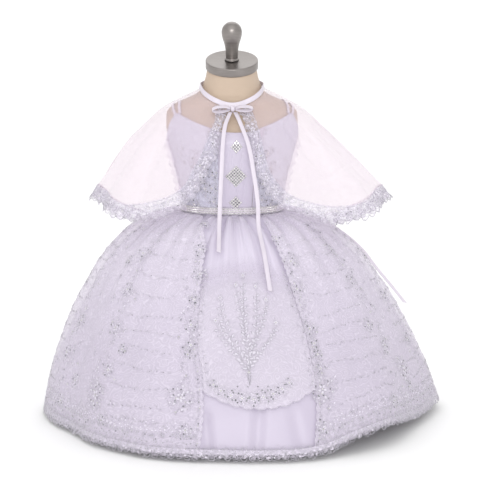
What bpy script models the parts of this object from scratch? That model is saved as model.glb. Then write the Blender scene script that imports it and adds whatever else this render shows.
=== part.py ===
"""A child's christening gown with a sheer capelet, on a limbless dress form with a stand.

Metres, +Z up. The gown faces -Y and the wearer's left is +X. The origin is the middle of the stand's underside.
Angles run from the front (0) towards +X, so the centre back is at 180 degrees.
"""

import math

import bmesh
import bpy
from mathutils import Matrix, Vector

# ---------------------------------------------------------------- driving sizes
WAIST_HEIGHT = 0.3300
SATIN_THICK = 0.0012
SHEER_THICK = 0.0010
BODICE_THICK = 0.0016
BODICE_CLEAR = 0.0016
BODICE_TURN = 3.6
RIBBON_THICK = 0.0010
RIBBON_WIDTH = 0.0066
STRAP_WIDTH = 0.0046
STRAP_CLEAR = 0.0010
SEAM_GAP = 0.0003

SKIRT_PANELS = 5
GATHERS = 35
COLUMNS_A_GATHER = 2
CLOTH_END = 0.952
LACE_START = 0.9540
LACE_CELLS_A_PANEL = 16

CAPE_CLEAR = 0.0046
# How quickly the capelet's back falls away behind the shoulders; 2 is as slowly as the front.
CAPE_BACK_FALL = 5
CAPE_LACE_CELLS = 28

STAND_RADIUS = 0.125
STAND_THICK = 0.010
POLE_RADIUS = 0.0110
FORM_FOOT = 0.200
CAP_RADIUS = 0.0413
CAP_THICK = 0.0135
CAP_TILT = math.radians(18.5)


class Table:
    """Rows with named columns. read() follows a smooth curve through a column, with no overshoot between rows."""

    def __init__(self, columns, rows):
        self.stations = [row[0] for row in rows]
        self.columns = {name: [row[i] for row in rows] for i, name in enumerate(columns)}

    def slope(self, values, i):
        steps = [
            (values[k + 1] - values[k]) / (self.stations[k + 1] - self.stations[k])
            for k in (i - 1, i)
            if 0 <= k < len(values) - 1
        ]
        if len(steps) == 1:
            return steps[0]
        before, after = steps
        return 0.0 if before * after <= 0 else 2 * before * after / (before + after)

    def read(self, column, station):
        values = self.columns[column]
        last = len(values) - 2
        station = min(max(station, self.stations[0]), self.stations[-1])
        i = max(k for k in range(last + 1) if self.stations[k] <= station or k == 0)
        width = self.stations[i + 1] - self.stations[i]
        t = (station - self.stations[i]) / width
        start, end = values[i], values[i + 1]
        rise_in, rise_out = self.slope(values, i) * width, self.slope(values, i + 1) * width
        return (
            start * (1 + 2 * t) * (1 - t) ** 2
            + end * t * t * (3 - 2 * t)
            + rise_in * t * (1 - t) ** 2
            - rise_out * t * t * (1 - t)
        )


FORM = Table(
    ("height", "half_width", "half_depth", "centre_y", "tilt"),
    [
        (0.200, 0.0600, 0.0490, 0.0020, 0.0),
        (0.209, 0.0790, 0.0640, 0.0015, 0.0),
        (0.232, 0.0920, 0.0730, 0.0005, 0.0),
        (0.268, 0.0910, 0.0730, 0.0000, 0.0),
        (0.300, 0.0825, 0.0665, 0.0000, 0.0),
        (0.332, 0.0765, 0.0620, -0.0010, 0.0),
        (0.370, 0.0810, 0.0660, -0.0030, 0.0),
        (0.405, 0.0890, 0.0705, -0.0045, 0.0),
        (0.440, 0.0985, 0.0708, -0.0048, 0.0),
        (0.465, 0.1040, 0.0643, -0.0013, 0.0),
        (0.484, 0.1035, 0.0560, 0.0030, 0.0),
        (0.492, 0.0985, 0.0523, 0.0043, 0.0),
        (0.499, 0.0890, 0.0490, 0.0045, 0.0),
        (0.506, 0.0740, 0.0470, 0.0030, 0.0),
        (0.513, 0.0585, 0.0448, 0.0013, 0.05),
        (0.520, 0.0490, 0.0440, -0.0005, 0.12),
        (0.530, 0.0450, 0.0425, -0.0015, 0.22),
        (0.540, 0.0415, 0.0405, -0.0035, 0.29),
        (0.5555, 0.0385, 0.0380, -0.0065, math.tan(CAP_TILT)),
    ],
)
FORM_RINGS = (
    0.200, 0.209, 0.232, 0.266, 0.296, 0.316, 0.333, 0.350, 0.375, 0.400, 0.422,
    0.440, 0.455, 0.470, 0.484, 0.492, 0.499, 0.506, 0.513, 0.520, 0.530, 0.541, 0.5555,
)

# Height of the bodice's upper edge round the body.
NECKLINE = Table(
    ("angle", "height"),
    [
        (0, 0.4570), (14, 0.4585), (24, 0.4650), (36, 0.4715), (50, 0.4800), (58, 0.4840),
        (66, 0.4740), (77, 0.4540), (92, 0.4420), (112, 0.4400), (135, 0.4480),
        (150, 0.4560), (165, 0.4500), (180, 0.4470),
    ],
)
BODICE_SEAMS = (20, 92, 180)
BODICE_ROWS = (0.0, 0.10, 0.22, 0.37, 0.54, 0.71, 0.86, 1.0)

# share: how far down the cloth from the waist seam; stand_off: how far the sheer layer stands from the satin.
SKIRT = Table(
    ("share", "height", "half_width", "half_depth", "lean", "gather", "stand_off"),
    [
        (0.000, WAIST_HEIGHT - 0.0024, 0.0800, 0.0655, 0.0000, 0.0008, 0.0018),
        (0.047, 0.3262, 0.0985, 0.0855, 0.0000, 0.0024, 0.0024),
        (0.120, 0.3170, 0.1265, 0.1155, 0.0000, 0.0030, 0.0045),
        (0.200, 0.2990, 0.1560, 0.1480, 0.0000, 0.0024, 0.0062),
        (0.304, 0.2700, 0.1870, 0.1820, 0.0005, 0.0016, 0.0065),
        (0.380, 0.2460, 0.2080, 0.2060, 0.0010, 0.0010, 0.0060),
        (0.460, 0.2180, 0.2260, 0.2260, 0.0020, 0.0006, 0.0050),
        (0.559, 0.1800, 0.2490, 0.2500, 0.0035, 0.0003, 0.0042),
        (0.678, 0.1320, 0.2705, 0.2740, 0.0055, 0.0, 0.0036),
        (0.785, 0.0900, 0.2870, 0.2940, 0.0080, 0.0, 0.0030),
        (0.886, 0.0480, 0.2990, 0.3090, 0.0105, 0.0, 0.0026),
        (1.000, 0.0018, 0.3080, 0.3200, 0.0135, 0.0, 0.0024),
    ],
)
SKIRT_ROWS = (0.0, 0.05, 0.12, 0.22, 0.36, 0.53, 0.73, CLOTH_END)

# The hem's broad waves: a ridge where reach is positive, a hollow where it isn't.
SKIRT_FOLDS = [
    {"angle": -172, "half_width": 15, "reach": 0.009},
    {"angle": -150, "half_width": 13, "reach": -0.007},
    {"angle": -128, "half_width": 15, "reach": 0.010},
    {"angle": -107, "half_width": 12, "reach": -0.005},
    {"angle": -88, "half_width": 14, "reach": 0.007},
    {"angle": -60, "half_width": 17, "reach": -0.012},
    {"angle": -26, "half_width": 13, "reach": 0.005},
    {"angle": -4, "half_width": 10, "reach": -0.004},
    {"angle": 18, "half_width": 12, "reach": 0.005},
    {"angle": 66, "half_width": 22, "reach": -0.014},
    {"angle": 96, "half_width": 15, "reach": 0.015},
    {"angle": 119, "half_width": 12, "reach": -0.006},
    {"angle": 140, "half_width": 14, "reach": 0.010},
    {"angle": 163, "half_width": 12, "reach": -0.008},
]

# How far the hem is lifted round the skirt.
HEM = Table(
    ("angle", "lift"),
    [
        (-180, 0.004), (-120, 0.002), (-90, 0.0), (14, 0.0), (24, 0.004), (34, 0.018), (46, 0.026),
        (58, 0.019), (72, 0.010), (95, 0.010), (130, 0.006), (180, 0.004),
    ],
)

# The sheer layer's front edge, in degrees from the centre front.
OPENING = Table(
    ("share", "left", "right"),
    [
        (0.00, -31.0, 31.0),
        (0.12, -21.0, 25.5),
        (0.25, -13.8, 24.0),
        (0.45, -13.2, 24.6),
        (0.60, -12.6, 25.2),
        (0.70, -10.6, 25.0),
        (0.82, -10.2, 23.5),
        (1.00, -12.0, 20.0),
    ],
)
APRON_ENDS = {"top": 0.265, "top_side": 0.330, "side": 0.755, "middle": 0.814}
APRON_FILL = 0.92
APRON_OUT = 0.0030

CAPE = Table(
    (
        "share", "half_width", "front_depth", "back_depth",
        "side_height", "front_height", "back_height", "lean",
    ),
    [
        (0.000, 0.0475, 0.0480, 0.0465, 0.5230, 0.4960, 0.5290, 0.0010),
        (0.155, 0.0850, 0.0680, 0.0640, 0.5070, 0.4770, 0.5120, 0.0010),
        (0.272, 0.1125, 0.0810, 0.0745, 0.4915, 0.4570, 0.4905, 0.0005),
        (0.388, 0.1355, 0.0895, 0.0840, 0.4710, 0.4310, 0.4640, 0.0005),
        (0.545, 0.1655, 0.1000, 0.1020, 0.4410, 0.3980, 0.4220, 0.0030),
        (0.703, 0.1930, 0.1120, 0.1320, 0.4095, 0.3620, 0.3680, 0.0070),
        (0.847, 0.2170, 0.1270, 0.1720, 0.3800, 0.3280, 0.3115, 0.0110),
        (0.943, 0.2330, 0.1390, 0.1990, 0.3600, 0.3050, 0.2785, 0.0140),
        (1.000, 0.2415, 0.1460, 0.2130, 0.3470, 0.2900, 0.2635, 0.0150),
    ],
)

# The lace's inner (sewn) and outer edges down the capelet's front, round the corner and along the hem, as shares of
# the way down and as angles on the wearer's left and right. The last station is the centre back.
CAPE_BORDER = Table(
    (
        "station", "inner_share", "inner_left", "inner_right",
        "outer_share", "outer_left", "outer_right",
    ),
    [
        (0, 0.004, 29.0, 25.0, 0.034, 10.0, 8.0),
        (1, 0.200, 24.0, 18.0, 0.220, 10.5, 7.4),
        (2, 0.370, 21.5, 19.5, 0.400, 11.5, 8.2),
        (3, 0.530, 20.0, 22.7, 0.560, 12.0, 13.0),
        (4, 0.650, 22.5, 25.5, 0.690, 13.5, 17.6),
        (5, 0.735, 27.0, 31.0, 0.790, 19.0, 22.0),
        (6, 0.800, 34.0, 38.0, 0.870, 27.0, 29.2),
        (7, 0.855, 42.0, 45.5, 0.940, 34.0, 38.0),
        (8, 0.888, 51.5, 53.0, 0.990, 41.0, 46.5),
        (9, 0.892, 61.0, 62.0, 1.000, 51.0, 56.5),
        (20, 0.892, 180.0, 180.0, 1.000, 180.0, 180.0),
    ],
)
CAPE_ROWS = (0, 1.4, 2.8, 4.2, 5.5, 6.6, 7.4, 8)
CAPE_SEAM = 0.12
CAPE_FOLDS = [
    {"angle": -160, "half_width": 14, "reach": 0.010},
    {"angle": -138, "half_width": 12, "reach": -0.008},
    {"angle": -118, "half_width": 12, "reach": 0.008},
    {"angle": -72, "half_width": 11, "reach": -0.008},
    {"angle": -55, "half_width": 10, "reach": 0.007},
    {"angle": 56, "half_width": 12, "reach": 0.009},
    {"angle": 75, "half_width": 11, "reach": -0.006},
    {"angle": 115, "half_width": 13, "reach": 0.009},
    {"angle": 136, "half_width": 12, "reach": -0.008},
    {"angle": 158, "half_width": 14, "reach": 0.010},
    {"angle": 180, "half_width": 11, "reach": -0.005},
]


# ---------------------------------------------------------------- surfaces
def form_skin(angle, height):
    """A point on the dress form."""
    turn = math.radians(angle)
    y = -FORM.read("half_depth", height) * math.cos(turn)
    return Vector(
        (
            FORM.read("half_width", height) * math.sin(turn),
            FORM.read("centre_y", height) + y,
            height + FORM.read("tilt", height) * y,
        )
    )


def clear_of_form(point, clearance):
    """The point, moved straight out if it is nearer to the dress form than this."""
    width = FORM.read("half_width", point.z) + clearance
    depth = FORM.read("half_depth", point.z) + clearance
    middle = FORM.read("centre_y", point.z)
    inside = math.hypot(point.x / width, (point.y - middle) / depth)
    if inside >= 1:
        return point
    return Vector((point.x / inside, middle + (point.y - middle) / inside, point.z))


def fold_depth(folds, angle):
    depth = 0.0
    for fold in folds:
        away = (angle - fold["angle"] + 180) % 360 - 180
        if abs(away) < fold["half_width"]:
            depth += fold["reach"] * math.cos(math.pi / 2 * away / fold["half_width"]) ** 2
    return depth


def skirt_skin(angle, share, gathered=True):
    """A point on the outside of the satin skirt."""
    turn = math.radians(angle)
    reach = fold_depth(SKIRT_FOLDS, angle) * share**1.6
    if gathered:
        place = angle * GATHERS / 360
        unevenness = 0.78 + 0.22 * math.cos(5 * turn + 1)
        reach += SKIRT.read("gather", share) * unevenness * (1 - 4 * abs(place - round(place)))
    lift = HEM.read("lift", (angle + 180) % 360 - 180) * share**3
    return Vector(
        (
            SKIRT.read("lean", share) + (SKIRT.read("half_width", share) + reach) * math.sin(turn),
            -(SKIRT.read("half_depth", share) + reach) * math.cos(turn),
            SKIRT.read("height", share) + lift,
        )
    )


def plain_skirt_skin(angle, share):
    return skirt_skin(angle, share, gathered=False)


def cape_skin(angle, share):
    """A point on the outside of the capelet, which rests on the shoulders."""
    turn = math.radians(angle)
    reach = fold_depth(CAPE_FOLDS, angle) * share**1.8
    at_front = abs(angle) < 90
    facing, depth = ("front_height", "front_depth") if at_front else ("back_height", "back_depth")
    sideways = abs(math.sin(turn)) ** (2 if at_front else CAPE_BACK_FALL)
    hanging = Vector(
        (
            CAPE.read("lean", share) + (CAPE.read("half_width", share) + reach) * math.sin(turn),
            -(CAPE.read(depth, share) + reach) * math.cos(turn),
            CAPE.read("side_height", share) * sideways + CAPE.read(facing, share) * (1 - sideways),
        )
    )
    return clear_of_form(hanging, CAPE_CLEAR)


def outward(surface, across, down, step=(0.5, 0.002)):
    """The surface's unit normal, away from the body. down grows downwards, or upwards where step says so."""
    along = surface(across + step[0], down) - surface(across - step[0], down)
    fall = surface(across, down + step[1]) - surface(across, down - step[1])
    return fall.cross(along).normalized()


def off_form(angle, height, out):
    """A point this far off the dress form."""
    return form_skin(angle, height) + outward(form_skin, angle, height, (0.5, -0.0005)) * out


def off_skirt(angle, share, out):
    """A point this far off the satin skirt, gathers included."""
    inside = min(max(share, 0.0025), 0.9975)
    return skirt_skin(angle, share) + outward(plain_skirt_skin, angle, inside) * out


def sheer_skirt(angle, share):
    return off_skirt(angle, share, SKIRT.read("stand_off", share))


def cape_border(edge, side, station):
    """A point of the capelet's border. edge is inner or outer, and side is 1 on the wearer's left or -1."""
    angle = CAPE_BORDER.read(f"{edge}_{'left' if side > 0 else 'right'}", station)
    return cape_skin(side * min(angle, 180 - CAPE_SEAM), CAPE_BORDER.read(edge + "_share", station))


# ---------------------------------------------------------------- makers
def steps(start, end, count):
    """count + 1 even steps from start to end."""
    return [start + (end - start) * i / count for i in range(count + 1)]


def finish(name, mesh, surface_finish, thickness=0.0, offset=-1.0):
    """Links a mesh as a named piece. A thickness makes an open surface a closed wall."""
    piece = bpy.data.objects.new(name, mesh)
    mesh.materials.append(surface_finish)
    gown.objects.link(piece)
    mesh.shade_smooth()
    mesh.set_sharp_from_angle(angle=math.radians(50))
    if thickness:
        wall = piece.modifiers.new("wall", "SOLIDIFY")
        wall.thickness = thickness
        wall.offset = offset
    return piece


def panel(name, columns, rows, point, surface_finish, thickness, offset=-1.0):
    """A cloth panel: a grid of point(column, row), thickened. Rows run down and columns to the wearer's left."""
    mesh = bpy.data.meshes.new(name)
    points = [point(column, row) for column in columns for row in rows]
    down = len(rows)
    faces = [
        (i * down + j, i * down + j + 1, (i + 1) * down + j + 1, (i + 1) * down + j)
        for i in range(len(columns) - 1)
        for j in range(down - 1)
    ]
    mesh.from_pydata(points, [], faces)
    return finish(name, mesh, surface_finish, thickness, offset)


# One repeat of the lace edging, across (0 at the sewn edge) by along: its outline, and the hole cut in it.
LACE_NOTCH = 0.70
LACE_OUTLINE = ((0.0, 0.0), (0.0, LACE_NOTCH), (0.5, 1.0), (1.0, LACE_NOTCH), (1.0, 0.0))
LACE_HOLE = ((0.29, 0.27), (0.27, 0.56), (0.5, 0.78), (0.73, 0.56), (0.71, 0.27))


def lace_edging(name, cells, point, surface_finish):
    """A cut lace strip of so many repeats, each with a scallop and a hole. point(along, across) runs from 0 to 1."""
    mesh = bpy.data.meshes.new(name)
    work = bmesh.new()
    corners = {}

    def corner(cell, along, across):
        key = (round(cell + along, 3), across)
        if key not in corners:
            corners[key] = work.verts.new(point((cell + along) / cells, across))
        return corners[key]

    for cell in range(cells):
        outline = [corner(cell, *place) for place in LACE_OUTLINE]
        hole = [corner(cell, *place) for place in LACE_HOLE]
        for i in range(len(outline)):
            after = (i + 1) % len(outline)
            work.faces.new((outline[i], outline[after], hole[after], hole[i]))
    work.to_mesh(mesh)
    work.free()
    return finish(name, mesh, surface_finish, SHEER_THICK)


def even_stations(curve, start, end, count, samples=300):
    """count + 1 stations along curve(station), evenly apart in length."""
    stations = steps(start, end, samples)
    places = [curve(station) for station in stations]
    run = [0.0]
    for before, after in zip(places, places[1:]):
        run.append(run[-1] + (after - before).length)
    even, k = [], 0
    for wanted in steps(0, run[-1], count):
        while k < samples - 1 and run[k + 1] < wanted:
            k += 1
        even.append(stations[k] + (stations[k + 1] - stations[k]) * (wanted - run[k]) / (run[k + 1] - run[k]))
    return even


def smooth_path(points, count):
    """count points along a Catmull-Rom curve through these."""
    ends = [points[0] * 2 - points[1], *points, points[-1] * 2 - points[-2]]
    path = []
    for k in range(count):
        place = k * (len(points) - 1) / (count - 1)
        i = min(int(place), len(points) - 2)
        t = place - i
        a, b, c, d = ends[i : i + 4]
        path.append(
            0.5 * (2 * b + (c - a) * t + (2 * a - 5 * b + 4 * c - d) * t * t + (3 * b - a - 3 * c + d) * t**3)
        )
    return path


def ribbon(name, path, sideways, surface_finish, width=RIBBON_WIDTH, offset=0.0):
    """A flat ribbon along a path. sideways[i] is the direction of its width at each point of the path."""

    def point(edge, i):
        return path[i] + sideways[i].normalized() * (edge * width / 2)

    return panel(name, (-1, 1), range(len(path)), point, surface_finish, RIBBON_THICK, offset)


def turned(name, profile, surface_finish, segments=16):
    """A turned piece on the Z axis. profile is (radius, height) from the top down, both ends on the axis."""
    mesh = bpy.data.meshes.new(name)
    mesh.from_pydata([(r, 0, z) for r, z in profile], [(i, i + 1) for i in range(len(profile) - 1)], [])
    piece = finish(name, mesh, surface_finish)
    screw = piece.modifiers.new("turn", "SCREW")
    screw.steps = screw.render_steps = segments
    screw.use_merge_vertices = True
    screw.merge_threshold = 0.00005
    screw.use_smooth_shade = True
    return piece


def drum(name, radius, thick, edge, surface_finish, segments=32):
    """A round plate on the Z axis from height 0 up, with rounded edges."""
    mesh = bpy.data.meshes.new(name)
    work = bmesh.new()
    bmesh.ops.create_cone(
        work, cap_ends=True, segments=segments, radius1=radius, radius2=radius, depth=thick,
        matrix=Matrix.Translation((0, 0, thick / 2)),
    )
    work.to_mesh(mesh)
    work.free()
    piece = finish(name, mesh, surface_finish)
    if edge:
        bevel = piece.modifiers.new("edge", "BEVEL")
        bevel.width = edge
        bevel.segments = 1
        bevel.angle_limit = math.radians(50)
    return piece


def finish_of(name, colour, roughness, metallic=0.0, alpha=1.0):
    made = bpy.data.materials.new(name)
    made.use_nodes = True
    shader = made.node_tree.nodes["Principled BSDF"]
    shader.inputs["Base Color"].default_value = (*colour, 1.0)
    shader.inputs["Roughness"].default_value = roughness
    shader.inputs["Metallic"].default_value = metallic
    shader.inputs["Alpha"].default_value = alpha
    return made


# ---------------------------------------------------------------- the dress form
def build_form():
    """The torso's rings, closed at both ends, then the stand, pole, neck cap and finial."""
    around = steps(0, 360, 28)[:-1]
    mesh = bpy.data.meshes.new("form_torso")
    work = bmesh.new()
    rings = [[work.verts.new(form_skin(angle, height)) for angle in around] for height in FORM_RINGS]
    for lower, upper in zip(rings, rings[1:]):
        for i in range(len(around)):
            after = (i + 1) % len(around)
            work.faces.new((lower[i], lower[after], upper[after], upper[i]))
    work.faces.new(list(reversed(rings[0])))
    work.faces.new(rings[-1])
    work.to_mesh(mesh)
    work.free()
    finish("form_torso", mesh, LINEN)

    drum("form_stand", STAND_RADIUS, STAND_THICK, 0.002, METAL, segments=32)
    pole = drum("form_pole", POLE_RADIUS, FORM_FOOT - STAND_THICK - 2 * SEAM_GAP, 0, METAL, segments=12)
    pole.location.z = STAND_THICK + SEAM_GAP

    top = FORM_RINGS[-1]
    neck = bpy.data.objects.new("neck_top", None)
    gown.objects.link(neck)
    neck.location = (0, FORM.read("centre_y", top), top)
    neck.rotation_euler.x = CAP_TILT
    cap = drum("form_neck_cap", CAP_RADIUS, CAP_THICK, 0.0012, METAL, segments=28)
    finial = turned(
        "form_finial",
        [
            (0.0, 0.0620), (0.0085, 0.0600), (0.0136, 0.0548), (0.0158, 0.0480), (0.0156, 0.0415),
            (0.0142, 0.0350), (0.0120, 0.0275), (0.0104, 0.0190), (0.0095, 0.0100), (0.0093, 0.0),
            (0.0, 0.0),
        ],
        METAL,
    )
    for piece, height in ((cap, SEAM_GAP), (finial, CAP_THICK + 2 * SEAM_GAP)):
        piece.parent = neck
        piece.location.z = height


# ---------------------------------------------------------------- the bodice
def bodice_skin(angle, share, out=0.0):
    """A point on the bodice: share 0 is the upper edge and 1 the waist seam."""
    top = NECKLINE.read("height", abs(angle))
    height = top + (WAIST_HEIGHT - top) * share
    return off_form(angle + BODICE_TURN, height, BODICE_CLEAR + BODICE_THICK + out)


def build_bodice():
    """Five panels and the scalloped lace that stands at each side seam."""
    front, side, back = BODICE_SEAMS
    seam = 0.17
    spans = {
        "bodice_front": (-front + seam, front - seam, 6, SATIN),
        "bodice_side_left": (front + seam, side - seam, 10, SATIN),
        "bodice_side_right": (-side + seam, -front - seam, 10, SATIN),
        "bodice_back_left": (side + seam, back - seam, 9, SATIN),
        "bodice_back_right": (-back + seam, -side - seam, 9, SATIN),
    }
    for name, (start, end, count, surface_finish) in spans.items():
        panel(name, steps(start, end, count), BODICE_ROWS, bodice_skin, surface_finish, BODICE_THICK)

    scallops, samples = 7, 21
    for name, sign in (("bodice_lace_left", 1), ("bodice_lace_right", -1)):

        def frill(across, down):
            wave = 0.5 - 0.5 * math.cos(2 * math.pi * scallops * down)
            reach = across * (0.0030 + 0.0024 * wave)
            angle = sign * (74 + 11 * across)
            return bodice_skin(angle, 0.04 + 0.83 * down, 3 * SEAM_GAP + SHEER_THICK + reach)

        columns = (0.0, 1.0) if sign > 0 else (1.0, 0.0)
        panel(name, columns, steps(0, 1, samples), frill, LACE, SHEER_THICK)


# Each strap's route over the shoulder, as angle and height on the form.
STRAP_ROUTES = {
    "outer": [
        (61, 0.4838), (68, 0.4895), (78, 0.4945), (92, 0.4968),
        (108, 0.4945), (122, 0.4860), (136, 0.4735), (147, 0.4590),
    ],
    "inner": [
        (54.5, 0.4848), (60, 0.4925), (72, 0.4995), (90, 0.5022),
        (110, 0.5000), (126, 0.4900), (140, 0.4755), (151.5, 0.4585),
    ],
}


def build_straps():
    """Two narrow straps on each shoulder."""
    for name, route in STRAP_ROUTES.items():
        places = smooth_path([Vector(place).to_3d() for place in route], 14)
        for side, sign in (("left", 1), ("right", -1)):
            turned_places = [(sign * angle + BODICE_TURN, height) for angle, height, _ in places]
            path = [off_form(*place, STRAP_CLEAR + RIBBON_THICK / 2) for place in turned_places]
            normals = [outward(form_skin, *place, (0.5, -0.0005)) for place in turned_places]
            last = len(path) - 1
            sideways = [
                (path[min(i + 1, last)] - path[max(i - 1, 0)]).cross(normals[i]) for i in range(len(path))
            ]
            ribbon(f"strap_{name}_{side}", path, sideways, SATIN, STRAP_WIDTH)


def build_waist():
    """The stone-set band across the front, and the ribbon that ties at the back."""
    height, reach = 0.0118, BODICE_CLEAR + BODICE_THICK + RIBBON_THICK + 3 * SEAM_GAP

    def band(angle, share):
        return off_form(angle, WAIST_HEIGHT + 2 * SEAM_GAP + height * (1 - share), reach)

    panel("waist_band", steps(-91, 91, 20), (0.0, 1.0), band, TRIM, RIBBON_THICK)

    def tie(angle, share):
        return off_form(angle, WAIST_HEIGHT + 0.0014 + RIBBON_WIDTH * (1 - share), reach)

    panel("tie_left", steps(91.6, 178.9, 10), (0.0, 1.0), tie, RIBBON, RIBBON_THICK)
    panel("tie_right", steps(-178.9, -91.6, 10), (0.0, 1.0), tie, RIBBON, RIBBON_THICK)


def bow(prefix, centre, forward, lie, loops, knot_size):
    """A knot and two ribbon loops.

    forward points away from the body and lie along the ribbon's width. Each loop is (side, reach, rise, height).
    """
    mesh = bpy.data.meshes.new(prefix + "_knot")
    work = bmesh.new()
    bmesh.ops.create_uvsphere(work, u_segments=10, v_segments=6, radius=0.5)
    bmesh.ops.scale(work, vec=knot_size, verts=work.verts)
    bmesh.ops.translate(work, vec=centre, verts=work.verts)
    work.to_mesh(mesh)
    work.free()
    finish(prefix + "_knot", mesh, RIBBON)
    start = knot_size.x / 2 + SEAM_GAP
    outline = ((0.0, 0.10), (0.25, 0.45), (0.70, 0.55), (1.0, 0.0), (0.72, -0.50), (0.25, -0.40), (0.0, -0.10))
    for side, reach, rise, height in loops:
        points = [
            centre + Vector((side * (start + x * reach), 0, z * height + rise * x)) + forward * (0.3 * x * reach)
            for x, z in outline
        ]
        name = f"{prefix}_loop_{'left' if side > 0 else 'right'}"
        ribbon(name, smooth_path(points, 15), [lie] * 15, RIBBON)


def build_back_tie():
    """The bow at the centre back; its left tail springs clear of the skirt at the side."""
    centre = Vector((0, 0.0702, WAIST_HEIGHT + 0.0078))
    bow(
        "back_bow", centre, Vector((0, 1, 0)), Vector((0, 1, 0.75)),
        [(1, 0.030, 0.004, 0.010), (-1, 0.028, 0.003, 0.010)], Vector((0.0075, 0.0092, 0.0066)),
    )
    left_route = (
        (160, 0.060, 0.0070), (145, 0.120, 0.0060), (129, 0.190, 0.0055), (114, 0.270, 0.0050),
        (104, 0.360, 0.0050), (98, 0.450, 0.0050), (94, 0.525, 0.0070), (91, 0.590, 0.0125),
    )
    right_route = (
        (-172, 0.065, 0.0070), (-169, 0.130, 0.0055), (-166, 0.200, 0.0050),
        (-163, 0.300, 0.0050), (-160, 0.400, 0.0050), (-157, 0.500, 0.0050),
    )
    for name, start, route, count, lie in (
        ("back_tail_left", Vector((0.0015, 0.0082, -0.0012)), left_route, 20, Vector((0.25, 1.0, 0.15))),
        ("back_tail_right", Vector((-0.0037, 0.0048, -0.0012)), right_route, 14, Vector((1.0, 0.1, 0.0))),
    ):
        points = [centre + start]
        points += [off_sheer(*place) for place in route]
        ribbon(name, smooth_path(points, count), [lie] * count, RIBBON)


# ---------------------------------------------------------------- the skirt
def off_sheer(angle, share, out):
    """A point this far off the sheer layer of the skirt."""
    return sheer_skirt(angle, share) + outward(plain_skirt_skin, angle, share) * out


def panel_span(index, at_share):
    """Where a skirt panel starts and ends, with half a seam gap off each side."""
    width = 360 / SKIRT_PANELS
    start = -width / 2 + index * width
    gap = math.degrees(0.6 * SEAM_GAP / SKIRT.read("half_depth", at_share))
    return start + gap, start + width - gap


PANEL_NAMES = ("front", "side_left", "back_left", "back_right", "side_right")


def build_satin_skirt():
    """Five gathered gores."""
    columns_a_panel = GATHERS * COLUMNS_A_GATHER // SKIRT_PANELS

    for index, name in enumerate(PANEL_NAMES):

        def gore(column, share):
            start, end = panel_span(index, share)
            return off_skirt(start + (end - start) * column, share, 0.0)

        panel("skirt_" + name, steps(0, 1, columns_a_panel), SKIRT_ROWS, gore, SATIN, SATIN_THICK)


def build_sheer_skirt():
    """The sheer layer, open down the front: a front and a back piece on each side."""
    gather = 360 / GATHERS / COLUMNS_A_GATHER
    front_columns = 4
    side_seam, back_seam = 21, 35
    first = 7
    for side, sign in (("left", 1), ("right", -1)):

        def front(column, share):
            gap = 0.6 * SEAM_GAP / SKIRT.read("half_depth", share)
            if column <= front_columns:
                edge = abs(OPENING.read("left" if sign < 0 else "right", share))
                angle = edge + (first * gather - edge) * column / front_columns
            else:
                angle = (first + column - front_columns) * gather
            if column == front_columns + side_seam - first:
                angle -= math.degrees(gap)
            return sheer_skirt(sign * angle, share)

        def back(column, share):
            gap = math.degrees(0.6 * SEAM_GAP / SKIRT.read("half_depth", share))
            angle = column * gather
            angle += gap if column == side_seam else 0.0
            angle -= gap if column == back_seam else 0.0
            return sheer_skirt(sign * angle, share)

        front_order = range(front_columns + side_seam - first + 1)
        back_order = range(side_seam, back_seam + 1)
        for name, order, point in (("front", front_order, front), ("back", back_order, back)):
            columns = list(order) if sign > 0 else list(reversed(order))
            panel(f"sheer_{name}_{side}", columns, SKIRT_ROWS, point, SHEER, SHEER_THICK)


def build_apron():
    """The sheer embroidered panel in the skirt's front opening, with rounded ends."""

    def apron(column, down):
        rounding = abs(column) ** 2.2
        top = APRON_ENDS["top"] + (APRON_ENDS["top_side"] - APRON_ENDS["top"]) * rounding
        end = APRON_ENDS["middle"] + (APRON_ENDS["side"] - APRON_ENDS["middle"]) * rounding
        share = top + (end - top) * down
        left, right = OPENING.read("left", share), OPENING.read("right", share)
        angle = (left + right) / 2 + column * APRON_FILL * (right - left) / 2
        return plain_skirt_skin(angle, share) + outward(plain_skirt_skin, angle, share) * APRON_OUT

    panel("skirt_apron", steps(-1, 1, 8), steps(0, 1, 7), apron, SHEER, SHEER_THICK)


def build_hem_lace():
    """The cut lace edging along the hem, in one strip for each gore."""
    for index, name in enumerate(PANEL_NAMES):

        def strip(along, across):
            start, end = panel_span(index, 1.0)
            share = LACE_START + (0.9975 - LACE_START) * across
            return sheer_skirt(start + (end - start) * along, share)

        lace_edging("hem_lace_" + name, LACE_CELLS_A_PANEL, strip, LACE)


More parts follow.
